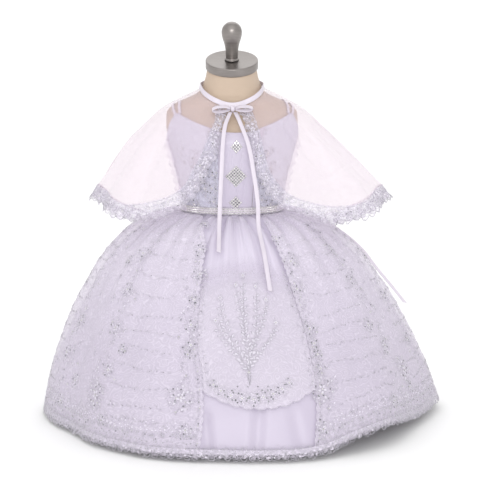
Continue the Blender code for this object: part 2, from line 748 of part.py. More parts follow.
# ---------------------------------------------------------------- the capelet
def build_cape():
    """Two sheer halves with a centre back seam, each edged with lace, and the neck ribbon."""
    sewn = 0.035
    for name, side in (("left", 1), ("right", -1)):

        def half(column, station):
            share = CAPE_BORDER.read("inner_share", station)
            seam_turn = math.degrees(5 * SEAM_GAP / CAPE.read("half_width", share))
            edge = CAPE_BORDER.read("inner_" + name, station) + seam_turn
            return cape_skin(side * (edge + (180 - CAPE_SEAM - edge) * column), share)

        def middle(station):
            return cape_border("inner", side, station).lerp(cape_border("outer", side, station), 0.5)

        stations = even_stations(middle, 0.05, 20, CAPE_LACE_CELLS * 2)

        def border(along, across):
            place = along if side > 0 else 1 - along
            k = min(int(place * CAPE_LACE_CELLS * 2), CAPE_LACE_CELLS * 2 - 1)
            station = stations[k] + (stations[k + 1] - stations[k]) * (place * CAPE_LACE_CELLS * 2 - k)
            inner, outer = cape_border("inner", side, station), cape_border("outer", side, station)
            return inner.lerp(outer, sewn + (1 - sewn) * across)

        columns = steps(0, 1, 18) if side > 0 else steps(1, 0, 18)
        panel("cape_" + name, columns, CAPE_ROWS, half, SHEER, SHEER_THICK)
        lace_edging("cape_lace_" + name, CAPE_LACE_CELLS, border, LACE)

    def neck_ribbon(angle, down):
        edge = cape_skin(angle, 0.0)
        raised = Vector((edge.x * 0.97, edge.y * 0.97, edge.z + 0.0082)) if down < 0.5 else edge
        return clear_of_form(raised + Vector((0, 0, SEAM_GAP)), CAPE_CLEAR - 0.0010)

    panel("neck_ribbon", steps(-172, 172, 32), (0.0, 1.0), neck_ribbon, RIBBON, RIBBON_THICK)


def build_neck_bow():
    """The bow at the throat and its two long tails, which fall over the bodice onto the skirt."""
    centre = Vector((0.0016, -0.0556, 0.4955))
    bow(
        "neck_bow", centre, Vector((0, -1, 0)), Vector((0, -1, -0.75)),
        [(1, 0.027, 0.001, 0.0075), (-1, 0.028, -0.001, 0.0090)], Vector((0.0072, 0.0100, 0.0090)),
    )
    left = [
        centre + Vector((0.0037, -0.0012, -0.0052)),
        Vector((0.0130, -0.0780, 0.4760)),
        Vector((0.0262, -0.0975, 0.4420)),
        Vector((0.0340, -0.1090, 0.4000)),
        Vector((0.0400, -0.1190, 0.3580)),
        off_sheer(17, 0.150, 0.0060),
        off_sheer(15.5, 0.270, 0.0045),
        off_sheer(14.5, 0.420, 0.0045),
    ]
    right = [
        centre + Vector((-0.0037, -0.0012, -0.0052)),
        Vector((-0.0100, -0.0800, 0.4720)),
        Vector((-0.0135, -0.0955, 0.4450)),
        Vector((-0.0150, -0.1050, 0.4150)),
        Vector((-0.0170, -0.1120, 0.3750)),
        Vector((-0.0183, -0.1180, 0.3420)),
        off_sheer(-7.5, 0.160, 0.0060),
        off_sheer(-6.3, 0.260, 0.0045),
    ]
    for name, points, count in (("neck_tail_left", left, 24), ("neck_tail_right", right, 20)):
        path = smooth_path(points, count)
        ribbon(name, path, [Vector((1.0, 0.15, 0.0))] * len(path), RIBBON)


def main():
    build_form()
    build_bodice()
    build_straps()
    build_waist()
    build_back_tie()
    build_satin_skirt()
    build_sheer_skirt()
    build_apron()
    build_hem_lace()
    build_cape()
    build_neck_bow()


for leftover in list(bpy.data.objects):
    bpy.data.objects.remove(leftover)
gown = bpy.data.collections.new("christening_gown")
bpy.context.scene.collection.children.link(gown)
SATIN = finish_of("satin", (0.78, 0.75, 0.86), 0.35)
SHEER = finish_of("sheer_organza", (0.88, 0.84, 0.93), 0.5, alpha=0.45)
LACE = finish_of("lace", (0.76, 0.73, 0.83), 0.7)
RIBBON = finish_of("ribbon", (0.86, 0.80, 0.90), 0.3)
TRIM = finish_of("stone_trim", (0.62, 0.61, 0.60), 0.25, metallic=0.6)
LINEN = finish_of("form_linen", (0.68, 0.54, 0.42), 0.85)
METAL = finish_of("brushed_metal", (0.42, 0.40, 0.38), 0.35, metallic=1.0)
main()
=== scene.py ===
import math

import bpy
import numpy as np
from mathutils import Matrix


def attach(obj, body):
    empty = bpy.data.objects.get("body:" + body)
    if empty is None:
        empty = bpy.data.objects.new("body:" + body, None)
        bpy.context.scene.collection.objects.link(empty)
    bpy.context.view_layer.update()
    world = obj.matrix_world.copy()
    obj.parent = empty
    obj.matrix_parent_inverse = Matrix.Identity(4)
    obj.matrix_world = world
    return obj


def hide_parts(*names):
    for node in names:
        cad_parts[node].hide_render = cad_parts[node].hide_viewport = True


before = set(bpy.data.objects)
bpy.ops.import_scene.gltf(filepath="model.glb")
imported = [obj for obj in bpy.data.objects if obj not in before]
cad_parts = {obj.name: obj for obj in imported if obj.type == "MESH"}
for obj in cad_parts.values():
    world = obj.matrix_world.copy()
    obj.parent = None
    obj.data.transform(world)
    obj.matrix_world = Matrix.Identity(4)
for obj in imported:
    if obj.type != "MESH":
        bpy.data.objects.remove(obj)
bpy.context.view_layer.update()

# The christening gown, its sheer capelet and the dress form that they hang on. Metres, +Z up. The gown faces
# -Y, and the wearer's left is +X. Angles run from the front (0) towards +X; shares run down a cloth from its
# upper edge. Every surface takes arrays of places and gives an array of points, so that what is sewn on it
# follows the folds.

# ---------------------------------------------------------------- sizes, as the solids have them
WAIST_HEIGHT = 0.3300
BODICE_THICK = 0.0016
BODICE_CLEAR = 0.0016
BODICE_TURN = 3.6
RIBBON_WIDTH = 0.0066
RIBBON_THICK = 0.0010
LOOSE_RIBBON = 0.0005
STRAP_WIDTH = 0.0046
STRAP_CLEAR = 0.0010
SEAM_GAP = 0.0003
SIDES = (("left", 1), ("right", -1))
SKIRT_PANELS = 5
GATHERS = 35
CLOTH_END = 0.952
LACE_START = 0.9540
LACE_END = 0.9975
LACE_CELLS_A_PANEL = 16
CAPE_CLEAR = 0.0046
CAPE_SEAM = 0.12
CAPE_BACK_FALL = 5
CAPE_LACE_CELLS = 28
CAPE_LENGTH = 0.235
CAP_RADIUS = 0.0413
CAP_THICK = 0.0135
CAP_TILT = math.radians(18.5)

# ---------------------------------------------------------------- sizes of what is sewn on, and how it lies
THREAD = 0.00045
FINE_THREAD = 0.00036
EDGE_THREAD = 0.0004
STONE = 0.0011
BEAD = 0.00075
LEAST_STAND_OFF = 0.0012
SATIN_HEM = 0.012
SATIN_INSETS = ((-88, 0.0060), (94, 0.0042))
HEM_LAP = 0.0044
HEM_LACE_LIFT = 0.0006
CAPE_TUCK = 0.0026
CAPE_LACE_LIFT = 0.0008
LACE_STEP = (0.02, 0.02)
OVERLAY_OUT = 0.0012


class Table:
    """Rows with named columns. read() follows a smooth curve through a column, without overshoot."""

    def __init__(self, columns, rows):
        grid = np.array(rows, dtype=float)
        self.stations = grid[:, 0]
        self.columns = {name: grid[:, i] for i, name in enumerate(columns)}
        self.slopes = {name: self.slope(values) for name, values in self.columns.items()}

    def slope(self, values):
        rises = np.diff(values) / np.diff(self.stations)
        before, after = np.r_[rises[:1], rises], np.r_[rises, rises[-1:]]
        same_way = before * after > 0
        return np.where(same_way, 2 * before * after / np.where(same_way, before + after, 1.0), 0.0)

    def read(self, column, station):
        station = np.clip(station, self.stations[0], self.stations[-1])
        i = np.clip(np.searchsorted(self.stations, station, side="right") - 1, 0, len(self.stations) - 2)
        width = self.stations[i + 1] - self.stations[i]
        t = (station - self.stations[i]) / width
        values, slopes = self.columns[column], self.slopes[column]
        return (
            values[i] * (1 + 2 * t) * (1 - t) ** 2
            + values[i + 1] * t * t * (3 - 2 * t)
            + slopes[i] * width * t * (1 - t) ** 2
            - slopes[i + 1] * width * t * t * (1 - t)
        )


def named(columns, rows):
    """The rows as dictionaries, one value for each column."""
    return [dict(zip(columns, row)) for row in rows]


FORM = Table(
    ("height", "half_width", "half_depth", "centre_y", "tilt"),
    [
        (0.200, 0.0600, 0.0490, 0.0020, 0.0),
        (0.209, 0.0790, 0.0640, 0.0015, 0.0),
        (0.232, 0.0920, 0.0730, 0.0005, 0.0),
        (0.268, 0.0910, 0.0730, 0.0000, 0.0),
        (0.300, 0.0825, 0.0665, 0.0000, 0.0),
        (0.332, 0.0765, 0.0620, -0.0010, 0.0),
        (0.370, 0.0810, 0.0660, -0.0030, 0.0),
        (0.405, 0.0890, 0.0705, -0.0045, 0.0),
        (0.440, 0.0985, 0.0708, -0.0048, 0.0),
        (0.465, 0.1040, 0.0643, -0.0013, 0.0),
        (0.484, 0.1035, 0.0560, 0.0030, 0.0),
        (0.492, 0.0985, 0.0523, 0.0043, 0.0),
        (0.499, 0.0890, 0.0490, 0.0045, 0.0),
        (0.506, 0.0740, 0.0470, 0.0030, 0.0),
        (0.513, 0.0585, 0.0448, 0.0013, 0.05),
        (0.520, 0.0490, 0.0440, -0.0005, 0.12),
        (0.530, 0.0450, 0.0425, -0.0015, 0.22),
        (0.540, 0.0415, 0.0405, -0.0035, 0.29),
        (0.5555, 0.0385, 0.0380, -0.0065, math.tan(CAP_TILT)),
    ],
)
FORM_FOOT, FORM_TOP = 0.200, 0.5555

# Height of the bodice's upper edge round the body.
NECKLINE = Table(
    ("angle", "height"),
    [
        (0, 0.4570), (14, 0.4585), (24, 0.4650), (36, 0.4715), (50, 0.4800), (58, 0.4840),
        (66, 0.4740), (77, 0.4540), (92, 0.4420), (112, 0.4400), (135, 0.4480),
        (150, 0.4560), (165, 0.4500), (180, 0.4470),
    ],
)
BODICE_SEAMS = (20, 92, 180)

# share: how far down the cloth from the waist seam. stand_off: how far the sheer layer is from the satin.
SKIRT = Table(
    ("share", "height", "half_width", "half_depth", "lean", "gather", "stand_off"),
    [
        (0.000, WAIST_HEIGHT - 0.0024, 0.0800, 0.0655, 0.0000, 0.0006, 0.0018),
        (0.047, 0.3262, 0.0985, 0.0855, 0.0000, 0.0020, 0.0024),
        (0.120, 0.3170, 0.1265, 0.1155, 0.0000, 0.0024, 0.0045),
        (0.200, 0.2990, 0.1560, 0.1480, 0.0000, 0.0019, 0.0062),
        (0.304, 0.2700, 0.1870, 0.1820, 0.0005, 0.0013, 0.0065),
        (0.380, 0.2460, 0.2080, 0.2060, 0.0010, 0.0008, 0.0060),
        (0.460, 0.2180, 0.2260, 0.2260, 0.0020, 0.0005, 0.0050),
        (0.559, 0.1800, 0.2490, 0.2500, 0.0035, 0.0002, 0.0042),
        (0.678, 0.1320, 0.2705, 0.2740, 0.0055, 0.0, 0.0036),
        (0.785, 0.0900, 0.2870, 0.2940, 0.0080, 0.0, 0.0030),
        (0.886, 0.0480, 0.2990, 0.3090, 0.0105, 0.0, 0.0026),
        (1.000, 0.0018, 0.3080, 0.3200, 0.0135, 0.0, 0.0024),
    ],
)

FOLD = ("angle", "half_width", "reach")
CREASE = ("angle", "drift", "start", "end", "half_width", "depth")

# The hem's broad waves: a ridge where reach is positive, a hollow where it isn't.
SKIRT_FOLDS = named(
    FOLD,
    [
        (-172, 15, 0.009), (-150, 13, -0.007), (-128, 15, 0.010), (-107, 12, -0.005), (-88, 14, 0.007),
        (-60, 17, -0.012), (-26, 13, 0.005), (-4, 10, -0.004), (18, 12, 0.005), (66, 22, -0.014),
        (96, 15, 0.015), (119, 12, -0.006), (140, 14, 0.010), (163, 12, -0.008),
    ],
)

# How far the hem is lifted round the skirt.
HEM = Table(
    ("angle", "lift"),
    [
        (-180, 0.004), (-120, 0.002), (-90, 0.0), (14, 0.0), (24, 0.004), (34, 0.018), (46, 0.026),
        (58, 0.019), (72, 0.010), (95, 0.010), (130, 0.006), (180, 0.004),
    ],
)

# The sheer layer's front edge, in degrees from the centre front.
OPENING = Table(
    ("share", "left", "right"),
    [
        (0.00, -31.0, 31.0),
        (0.12, -21.0, 25.5),
        (0.25, -13.8, 24.0),
        (0.45, -13.2, 24.6),
        (0.60, -12.6, 25.2),
        (0.70, -10.6, 25.0),
        (0.82, -10.2, 23.5),
        (1.00, -12.0, 20.0),
    ],
)
APRON_ENDS = {"top": 0.265, "top_side": 0.330, "side": 0.755, "middle": 0.814}
APRON_FILL = 0.985
APRON_OUT = 0.0030

CAPE = Table(
    (
        "share", "half_width", "front_depth", "back_depth",
        "side_height", "front_height", "back_height", "lean",
    ),
    [
        (0.000, 0.0475, 0.0480, 0.0465, 0.5230, 0.4960, 0.5290, 0.0010),
        (0.155, 0.0850, 0.0680, 0.0640, 0.5070, 0.4770, 0.5120, 0.0010),
        (0.272, 0.1125, 0.0810, 0.0745, 0.4915, 0.4570, 0.4905, 0.0005),
        (0.388, 0.1355, 0.0895, 0.0840, 0.4710, 0.4310, 0.4640, 0.0005),
        (0.545, 0.1655, 0.1000, 0.1020, 0.4410, 0.3980, 0.4220, 0.0030),
        (0.703, 0.1930, 0.1120, 0.1320, 0.4095, 0.3620, 0.3680, 0.0070),
        (0.847, 0.2170, 0.1270, 0.1720, 0.3800, 0.3280, 0.3115, 0.0110),
        (0.943, 0.2330, 0.1390, 0.1990, 0.3600, 0.3050, 0.2785, 0.0140),
        (1.000, 0.2415, 0.1460, 0.2130, 0.3470, 0.2900, 0.2635, 0.0150),
    ],
)

# The lace's inner (sewn) and outer edges down the capelet's front, round the corner and along the hem, as
# shares of the way down and as angles on the wearer's left and right. The last station is the centre back.
CAPE_BORDER = Table(
    (
        "station", "inner_share", "inner_left", "inner_right",
        "outer_share", "outer_left", "outer_right",
    ),
    [
        (0, 0.004, 29.0, 25.0, 0.034, 10.0, 8.0),
        (1, 0.200, 24.0, 18.0, 0.220, 10.5, 7.4),
        (2, 0.370, 21.5, 19.5, 0.400, 11.5, 8.2),
        (3, 0.530, 20.0, 22.7, 0.560, 12.0, 13.0),
        (4, 0.650, 22.5, 25.5, 0.690, 13.5, 17.6),
        (5, 0.735, 27.0, 31.0, 0.790, 19.0, 22.0),
        (6, 0.800, 34.0, 38.0, 0.870, 27.0, 29.2),
        (7, 0.855, 42.0, 45.5, 0.940, 34.0, 38.0),
        (8, 0.888, 51.5, 53.0, 0.990, 41.0, 46.5),
        (9, 0.892, 61.0, 62.0, 1.000, 51.0, 56.5),
        (20, 0.892, 180.0, 180.0, 1.000, 180.0, 180.0),
    ],
)
CAPE_FOLDS = named(
    FOLD,
    [
        (-160, 14, 0.010), (-138, 12, -0.008), (-118, 12, 0.008), (-72, 11, -0.008), (-55, 10, 0.007),
        (56, 12, 0.009), (75, 11, -0.006), (115, 13, 0.009), (136, 12, -0.008), (158, 14, 0.010),
        (180, 11, -0.005),
    ],
)

# Creases listed one by one: where each starts and ends, how far it drifts sideways, how wide and how deep it
# is.
SATIN_CREASES = named(
    CREASE,
    [
        (-28, -2, 0.0, 0.20, 4.0, 0.0034), (-12, -2, 0.0, 0.27, 2.3, 0.0036),
        (-5, -2, 0.0, 0.19, 1.7, 0.0040), (0.5, 1, 0.0, 0.13, 1.6, 0.0026),
        (5, 5, 0.0, 0.34, 2.1, 0.0040), (13, 5, 0.0, 0.22, 2.2, 0.0028),
        (24, -2, 0.0, 0.26, 4.0, 0.0040), (-9.5, 1.5, 0.80, 1.10, 2.6, 0.0042),
        (7.0, -4.0, 0.76, 1.10, 3.0, 0.0050), (16, 2.0, 0.80, 1.10, 3.0, 0.0030),
    ],
)
SHEER_CREASES = named(
    CREASE,
    [
        (-30, 5, 0.0, 0.40, 4.0, 0.0030), (-46, -2, 0.02, 0.55, 5.0, 0.0026),
        (-63, 3, 0.0, 0.46, 4.5, 0.0028), (-36, 2, 0.46, 0.97, 4.0, 0.0022),
        (-52, -5, 0.40, 0.95, 5.0, -0.0020), (-78, 2, 0.10, 0.70, 6.0, 0.0030),
        (33, -1, 0.0, 0.44, 4.4, 0.0034), (48, -5, 0.03, 0.60, 5.0, 0.0028),
        (41, -2, 0.50, 0.97, 4.4, 0.0024), (64, -3, 0.02, 0.52, 4.6, 0.0030),
        (78, 2, 0.12, 0.80, 6.0, 0.0028), (104, 4, 0.02, 0.62, 5.0, 0.0032),
        (127, -3, 0.0, 0.45, 4.6, 0.0028), (150, 2, 0.05, 0.70, 5.4, 0.0032),
        (172, -2, 0.0, 0.50, 4.6, 0.0028), (-104, -3, 0.0, 0.58, 5.0, 0.0032),
        (-126, 3, 0.04, 0.42, 4.6, 0.0026), (-149, -2, 0.0, 0.66, 5.4, 0.0032),
        (-170, 3, 0.03, 0.46, 4.6, 0.0028),
    ],
)
CAPE_CREASES = named(
    CREASE,
    [
        (-48, 4, 0.30, 0.92, 4.0, 0.0030), (-66, -4, 0.34, 0.90, 4.5, 0.0034),
        (-84, 2, 0.42, 0.95, 5.0, -0.0030), (44, 5, 0.28, 0.90, 3.6, 0.0034),
        (58, 3, 0.32, 0.94, 4.2, -0.0030), (70, 4, 0.40, 0.90, 4.5, 0.0032),
        (98, -3, 0.30, 0.95, 5.0, 0.0034), (126, 4, 0.25, 0.90, 5.0, 0.0030),
        (150, -3, 0.30, 0.95, 4.6, 0.0034), (172, 3, 0.22, 0.90, 4.6, 0.0030),
        (-104, 3, 0.30, 0.95, 5.0, 0.0034), (-128, -4, 0.24, 0.90, 5.0, 0.0030),
        (-150, 3, 0.30, 0.95, 4.6, 0.0034),
    ],
)


# ---------------------------------------------------------------- surfaces
def place(x, y, z):
    return np.stack(np.broadcast_arrays(x, y, z), axis=-1)


def unit(directions):
    return directions / np.maximum(np.linalg.norm(directions, axis=-1, keepdims=True), 1e-12)


def outward(surface, across, down, step=(0.5, 0.002)):
    """The surface's unit normal, away from the body. step is negative for a down that grows upwards."""
    along = surface(across + step[0], down) - surface(across - step[0], down)
    fall = surface(across, down + step[1]) - surface(across, down - step[1])
    return unit(np.cross(fall, along))


def inside_edges(share):
    """The share, kept so far inside a cloth's edges that its normal can be measured."""
    return np.clip(share, 0.0025, 0.9975)


def bump_of(away, half_width):
    """1 in the middle of a fold, falling softly to 0 at its edges."""
    return np.where(np.abs(away) < half_width, np.cos(math.pi / 2 * away / half_width) ** 2, 0.0)


def scallops(lobes):
    """Rounded lobes from 0 to 1 that meet in notches, one for each whole number."""
    return np.abs(np.sin(np.pi * lobes)) ** 0.7


def wrapped(angle):
    """The same angle, from -180 up to 180."""
    return (angle + 180) % 360 - 180


def fold_depth(folds, angle):
    return sum(fold["reach"] * bump_of(wrapped(angle - fold["angle"]), fold["half_width"]) for fold in folds)


def crease_depth(creases, angle, share):
    """How far the listed creases push the cloth out; each fades in and out along its length."""
    total = np.zeros(np.broadcast(angle, share).shape)
    for crease in creases:
        run = (share - crease["start"]) / (crease["end"] - crease["start"])
        middle = crease["angle"] + crease["drift"] * run
        away = wrapped(angle - middle)
        at_edge = 0.5 if crease["start"] == 0 else 0.0
        rise = np.clip(run / 0.15 + at_edge, 0, 1) * np.clip((1 - run) / 0.5, 0, 1)
        total = total - crease["depth"] * rise * bump_of(away, crease["half_width"])
    return total


def form_skin(angle, height):
    """Points on the dress form."""
    turn = np.radians(angle)
    y = -FORM.read("half_depth", height) * np.cos(turn)
    return place(
        FORM.read("half_width", height) * np.sin(turn),
        FORM.read("centre_y", height) + y,
        height + FORM.read("tilt", height) * y,
    )


def form_normal(angle, height):
    return outward(form_skin, angle, height, (0.5, -0.0005))


def off_form(angle, height, out):
    return form_skin(angle, height) + form_normal(angle, height) * np.expand_dims(out, -1)


def clear_of_form(points, clearance):
    """The points, each moved straight out if it is nearer to the dress form than this."""
    x, y, z = points[..., 0], points[..., 1], points[..., 2]
    width = FORM.read("half_width", z) + clearance
    depth = FORM.read("half_depth", z) + clearance
    middle = FORM.read("centre_y", z)
    inside = np.minimum(np.hypot(x / width, (y - middle) / depth), 1.0)
    return place(x / inside, middle + (y - middle) / inside, z)


def plain_skirt(angle, share):
    """The skirt's own dome and hem waves, without its gathers."""
    turn = np.radians(angle)
    reach = fold_depth(SKIRT_FOLDS, angle) * np.maximum(share, 0) ** 1.6
    lift = HEM.read("lift", wrapped(angle)) * np.maximum(share, 0) ** 3
    return place(
        SKIRT.read("lean", share) + (SKIRT.read("half_width", share) + reach) * np.sin(turn),
        -(SKIRT.read("half_depth", share) + reach) * np.cos(turn),
        SKIRT.read("height", share) + lift,
    )


def gathers(angle, share):
    """Soft ridges between pinched creases at the waist, each with its own depth and length."""
    turn = np.radians(angle)
    wander = 1.7 * np.sin(3 * turn + 1.0) + 1.1 * np.sin(8 * turn + 2.0) + 0.7 * np.sin(13 * turn)
    spot = (angle + wander) * GATHERS / 360
    number = np.floor(spot) % GATHERS
    away = spot - np.floor(spot) - 0.5
    depth = 0.65 + 0.35 * np.sin(2.4 * number + 1.0)
    length = 0.32 + 0.14 * np.sin(1.7 * number + 0.6)
    held = np.clip(0.3 + share / 0.05, 0, 1) * np.clip(1 - share / length, 0, 1)
    ridges = SKIRT.read("gather", share) * np.cos(2 * math.pi * spot)
    return ridges - 0.0030 * depth * held * np.exp(-((away / 0.17) ** 2))


def off_skirt(angle, share, out):
    """Points this far off the skirt's plain dome, with its gathers."""
    normal = outward(plain_skirt, angle, inside_edges(share))
    return plain_skirt(angle, share) + normal * np.expand_dims(gathers(angle, share) + out, -1)


def satin_skirt(angle, share, out=0.0):
    """Points on the satin, which falls a little straighter than the sheer layer at the sides."""
    low = np.clip((share - 0.04) / 0.12, 0, 1) * np.clip((0.80 - share) / 0.25, 0, 1)
    inset = low * sum(deep * bump_of(wrapped(angle - at), 38) for at, deep in SATIN_INSETS)
    return off_skirt(angle, share, crease_depth(SATIN_CREASES, angle, share) + out - inset)


def sheer_skirt(angle, share, out=0.0):
    """Points on the sheer layer, which stands crisply off the satin."""
    turn = np.radians(angle)
    crisp = 0.0006 * np.sin(41 * turn + 9 * share) * np.sin(23 * share + 5 * turn)
    crisp = crisp * np.clip(share * 6, 0, 1)
    creased = crease_depth(SHEER_CREASES, angle, share) * 0.8
    near = SKIRT.read("stand_off", share)
    return off_skirt(angle, share, near + np.maximum(creased + crisp, LEAST_STAND_OFF - near) + out)


def apron_skirt(angle, share, out=0.0):
    return off_skirt(angle, share, APRON_OUT + out)


def cape_hang(angle, share):
    """The capelet's hang from the shoulders."""
    turn = np.radians(angle)
    reach = fold_depth(CAPE_FOLDS, angle) * np.maximum(share, 0) ** 1.8
    to_front = np.abs(wrapped(angle)) < 90
    sideways = np.abs(np.sin(turn)) ** np.where(to_front, 2, CAPE_BACK_FALL)
    depth = np.where(to_front, CAPE.read("front_depth", share), CAPE.read("back_depth", share))
    facing = np.where(to_front, CAPE.read("front_height", share), CAPE.read("back_height", share))
    hanging = place(
        CAPE.read("lean", share) + (CAPE.read("half_width", share) + reach) * np.sin(turn),
        -(depth + reach) * np.cos(turn),
        CAPE.read("side_height", share) * sideways + facing * (1 - sideways),
    )
    return clear_of_form(hanging, CAPE_CLEAR)


def cape_cloth(angle, share, out=0.0):
    turn = np.radians(angle)
    crisp = 0.0007 * np.sin(29 * turn + 7 * share) * np.sin(17 * share + 3 * turn)
    relief = crease_depth(CAPE_CREASES, angle, share) + crisp * np.clip(share * 3 - 0.9, 0, 1) + out
    normal = outward(cape_hang, angle, inside_edges(share))
    return cape_hang(angle, share) + normal * np.expand_dims(relief, -1)


def bodice_cloth(angle, share, out=0.0):
    """Points on the bodice: share 0 is the upper edge and 1 the waist seam."""
    top = NECKLINE.read("height", np.abs(angle))
    height = top + (WAIST_HEIGHT - top) * share
    return off_form(angle + BODICE_TURN, height, BODICE_CLEAR + BODICE_THICK + out)


def overlay_cloth(angle, share, out=0.0):
    """Points on the sheer layer over the bodice."""
    return bodice_cloth(angle, share, OVERLAY_OUT + out)


class Cloth:
    """A cloth to sew on. lay() puts down what is measured in metres, right and up from a place on it."""

    def __init__(self, surface, step=(0.5, 0.002)):
        self.surface = surface
        self.step = step

    def lay(self, across, down, right, up, out=0.0):
        step_across, step_down = self.step
        along = self.surface(across + step_across, down) - self.surface(across - step_across, down)
        fall = self.surface(across, down + step_down) - self.surface(across, down - step_down)
        metres_across = np.linalg.norm(along, axis=-1) / (2 * step_across)
        metres_down = np.linalg.norm(fall, axis=-1) / (2 * step_down)
        return self.surface(across + right / metres_across, down - up / metres_down, out)


SHEER_SKIRT = Cloth(sheer_skirt)
APRON = Cloth(apron_skirt)
BODICE = Cloth(bodice_cloth)
BODICE_OVERLAY = Cloth(overlay_cloth)


# ---------------------------------------------------------------- makers
def steps(start, end, count):
    """count + 1 even steps from start to end."""
    return np.linspace(start, end, count + 1)


# The corners of a thread's ridge, in degrees round it from its right side; how thick a cord's ends are.
RIDGE_CORNERS = (-50, 90, 230)
CORD_END = 0.3


class Work:
    """Points and faces gathered for one piece."""

    def __init__(self):
        self.points = []
        self.faces = []
        self.count = 0

    def add(self, points, faces):
        """Copies of one shape. points is (copies, points, 3); faces are lists of the shape's own faces."""
        points = np.asarray(points, dtype=float)
        points = points.reshape(-1, points.shape[-2], 3)
        copies, size = points.shape[:2]
        starts = self.count + size * np.arange(copies)[:, None, None]
        for face_set in faces:
            face_set = np.asarray(face_set, dtype=int)
            self.faces += (face_set[None] + starts).reshape(-1, face_set.shape[-1]).tolist()
        self.points.append(points.reshape(-1, 3))
        self.count += copies * size

    def grid(self, points, closed=False):
        """A grid of points (..., rows, columns, 3), closed round its columns or not."""
        rows, columns = points.shape[-3:-1]
        first = np.arange(columns if closed else columns - 1)
        after = (first + 1) % columns
        lower = columns * np.arange(rows - 1)[:, None]
        upper = lower + columns
        faces = np.stack([lower + first, upper + first, upper + after, lower + after], -1)
        self.add(points.reshape(-1, rows * columns, 3), [faces.reshape(-1, 4)])

    def cap(self, rings):
        """Flat ends on a closed grid's first and last rings."""
        first = np.arange(rings.shape[1])[None]
        self.add(rings[0], [first])
        self.add(rings[-1], [first[:, ::-1]])

    def tube(self, path, up, radius, sides):
        """Cords along paths (..., points, 3), thin at their ends; up is roughly square to them.

        A cord of two sides is a ridge, open underneath, for thread that lies on cloth.
        """
        ahead = np.gradient(path, axis=-2)
        sideways = unit(np.cross(ahead, up))
        lift = unit(np.cross(sideways, ahead))
        turn = 2 * math.pi * np.arange(sides) / sides if sides > 2 else np.radians(RIDGE_CORNERS)
        size = np.full(path.shape[-2], float(radius))
        size[[0, -1]] *= CORD_END
        ring = sideways[..., None, :] * np.cos(turn)[:, None] + lift[..., None, :] * np.sin(turn)[:, None]
        self.grid(path[..., None, :] + ring * size[:, None, None], closed=sides > 2)

    def piece(self, name, finish, slot, smooth=True, replaces=(), thickness=0.0, offset=0.0, marks=None):
        """Makes the gathered points a named piece that rides on the part."""
        mesh = bpy.data.meshes.new(name)
        mesh.from_pydata(np.concatenate(self.points).tolist(), [], self.faces)
        if marks is not None:
            corners = np.zeros(len(mesh.loops), dtype=np.int32)
            mesh.loops.foreach_get("vertex_index", corners)
            mesh.uv_layers.new(name="cloth").data.foreach_set("uv", marks[corners].ravel())
        mesh.materials.append(finish)
        if smooth:
            mesh.shade_smooth()
        piece = bpy.data.objects.new(name, mesh)
        bpy.context.scene.collection.objects.link(piece)
        if thickness:
            wall = piece.modifiers.new("wall", "SOLIDIFY")
            wall.thickness = thickness
            wall.offset = offset
        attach(piece, "root")
        if replaces:
            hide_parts(*replaces)
        return piece


def cloth_piece(name, points, finish, slot, **rest):
    """A sheet of cloth from a grid of points (rows, columns, 3). Its marks measure the cloth in metres."""
    work = Work()
    work.grid(points)
    across = np.linalg.norm(np.diff(points, axis=1), axis=-1)
    down = np.linalg.norm(np.diff(points, axis=0), axis=-1)
    right = np.concatenate([np.zeros((1,)), np.cumsum(across.mean(axis=0))])
    fall = np.concatenate([np.zeros((1, points.shape[1])), np.cumsum(down, axis=0)])
    marks = np.stack(np.broadcast_arrays(right[None, :], fall), axis=-1).reshape(-1, 2)
    return work.piece(name, finish, slot, marks=marks, **rest)


def facing_out(points, side):
    """A grid that runs from the front round one side, with its columns turned so that it faces outwards."""
    return points if side > 0 else points[:, ::-1]


def smooth_path(points, count):
    """count points along a Catmull-Rom curve through these."""
    points = np.asarray(points, dtype=float)
    ends = np.concatenate([[points[0] * 2 - points[1]], points, [points[-1] * 2 - points[-2]]])
    along = np.linspace(0, len(points) - 1, count)
    i = np.minimum(along.astype(int), len(points) - 2)
    t = (along - i)[:, None]
    a, b, c, d = ends[i], ends[i + 1], ends[i + 2], ends[i + 3]
    square, cube = 2 * a - 5 * b + 4 * c - d, 3 * b - a - 3 * c + d
    return 0.5 * (2 * b + (c - a) * t + square * t * t + cube * t**3)


def ribbon_points(path, lie, width, bow=0.0):
    """A ribbon's grid along a path. lie is along its width, and bow is how far its middle stands out."""
    lie = unit(np.broadcast_to(np.asarray(lie, dtype=float), path.shape))
    normal = unit(np.cross(np.gradient(path, axis=0), lie))
    across = np.linspace(-1, 1, 7)
    return (
        path[:, None, :]
        + lie[:, None, :] * (across * width / 2)[:, None]
        + normal[:, None, :] * (bow * (1 - across**2))[:, None]
    )


def leaf_shape(fullness, rows=4, columns=2):
    """One petal or leaf, a unit long: across, along and how high its middle stands."""
    along = np.linspace(0.0, 1.0, rows + 1)
    outline = np.sin(math.pi * along**fullness) ** 0.75
    across = np.linspace(-1.0, 1.0, columns + 1)
    x = 0.5 * outline[:, None] * across
    y = np.broadcast_to(along[:, None], x.shape)
    z = np.broadcast_to(outline[:, None] ** 0.5 * (1 - across**2), x.shape)
    lower = (columns + 1) * np.arange(rows)[:, None] + np.arange(columns)
    upper = lower + columns + 1
    faces = np.stack([lower, lower + 1, upper + 1, upper], -1)
    return np.stack([x, y, z], -1).reshape(-1, 3), [faces.reshape(-1, 4)]


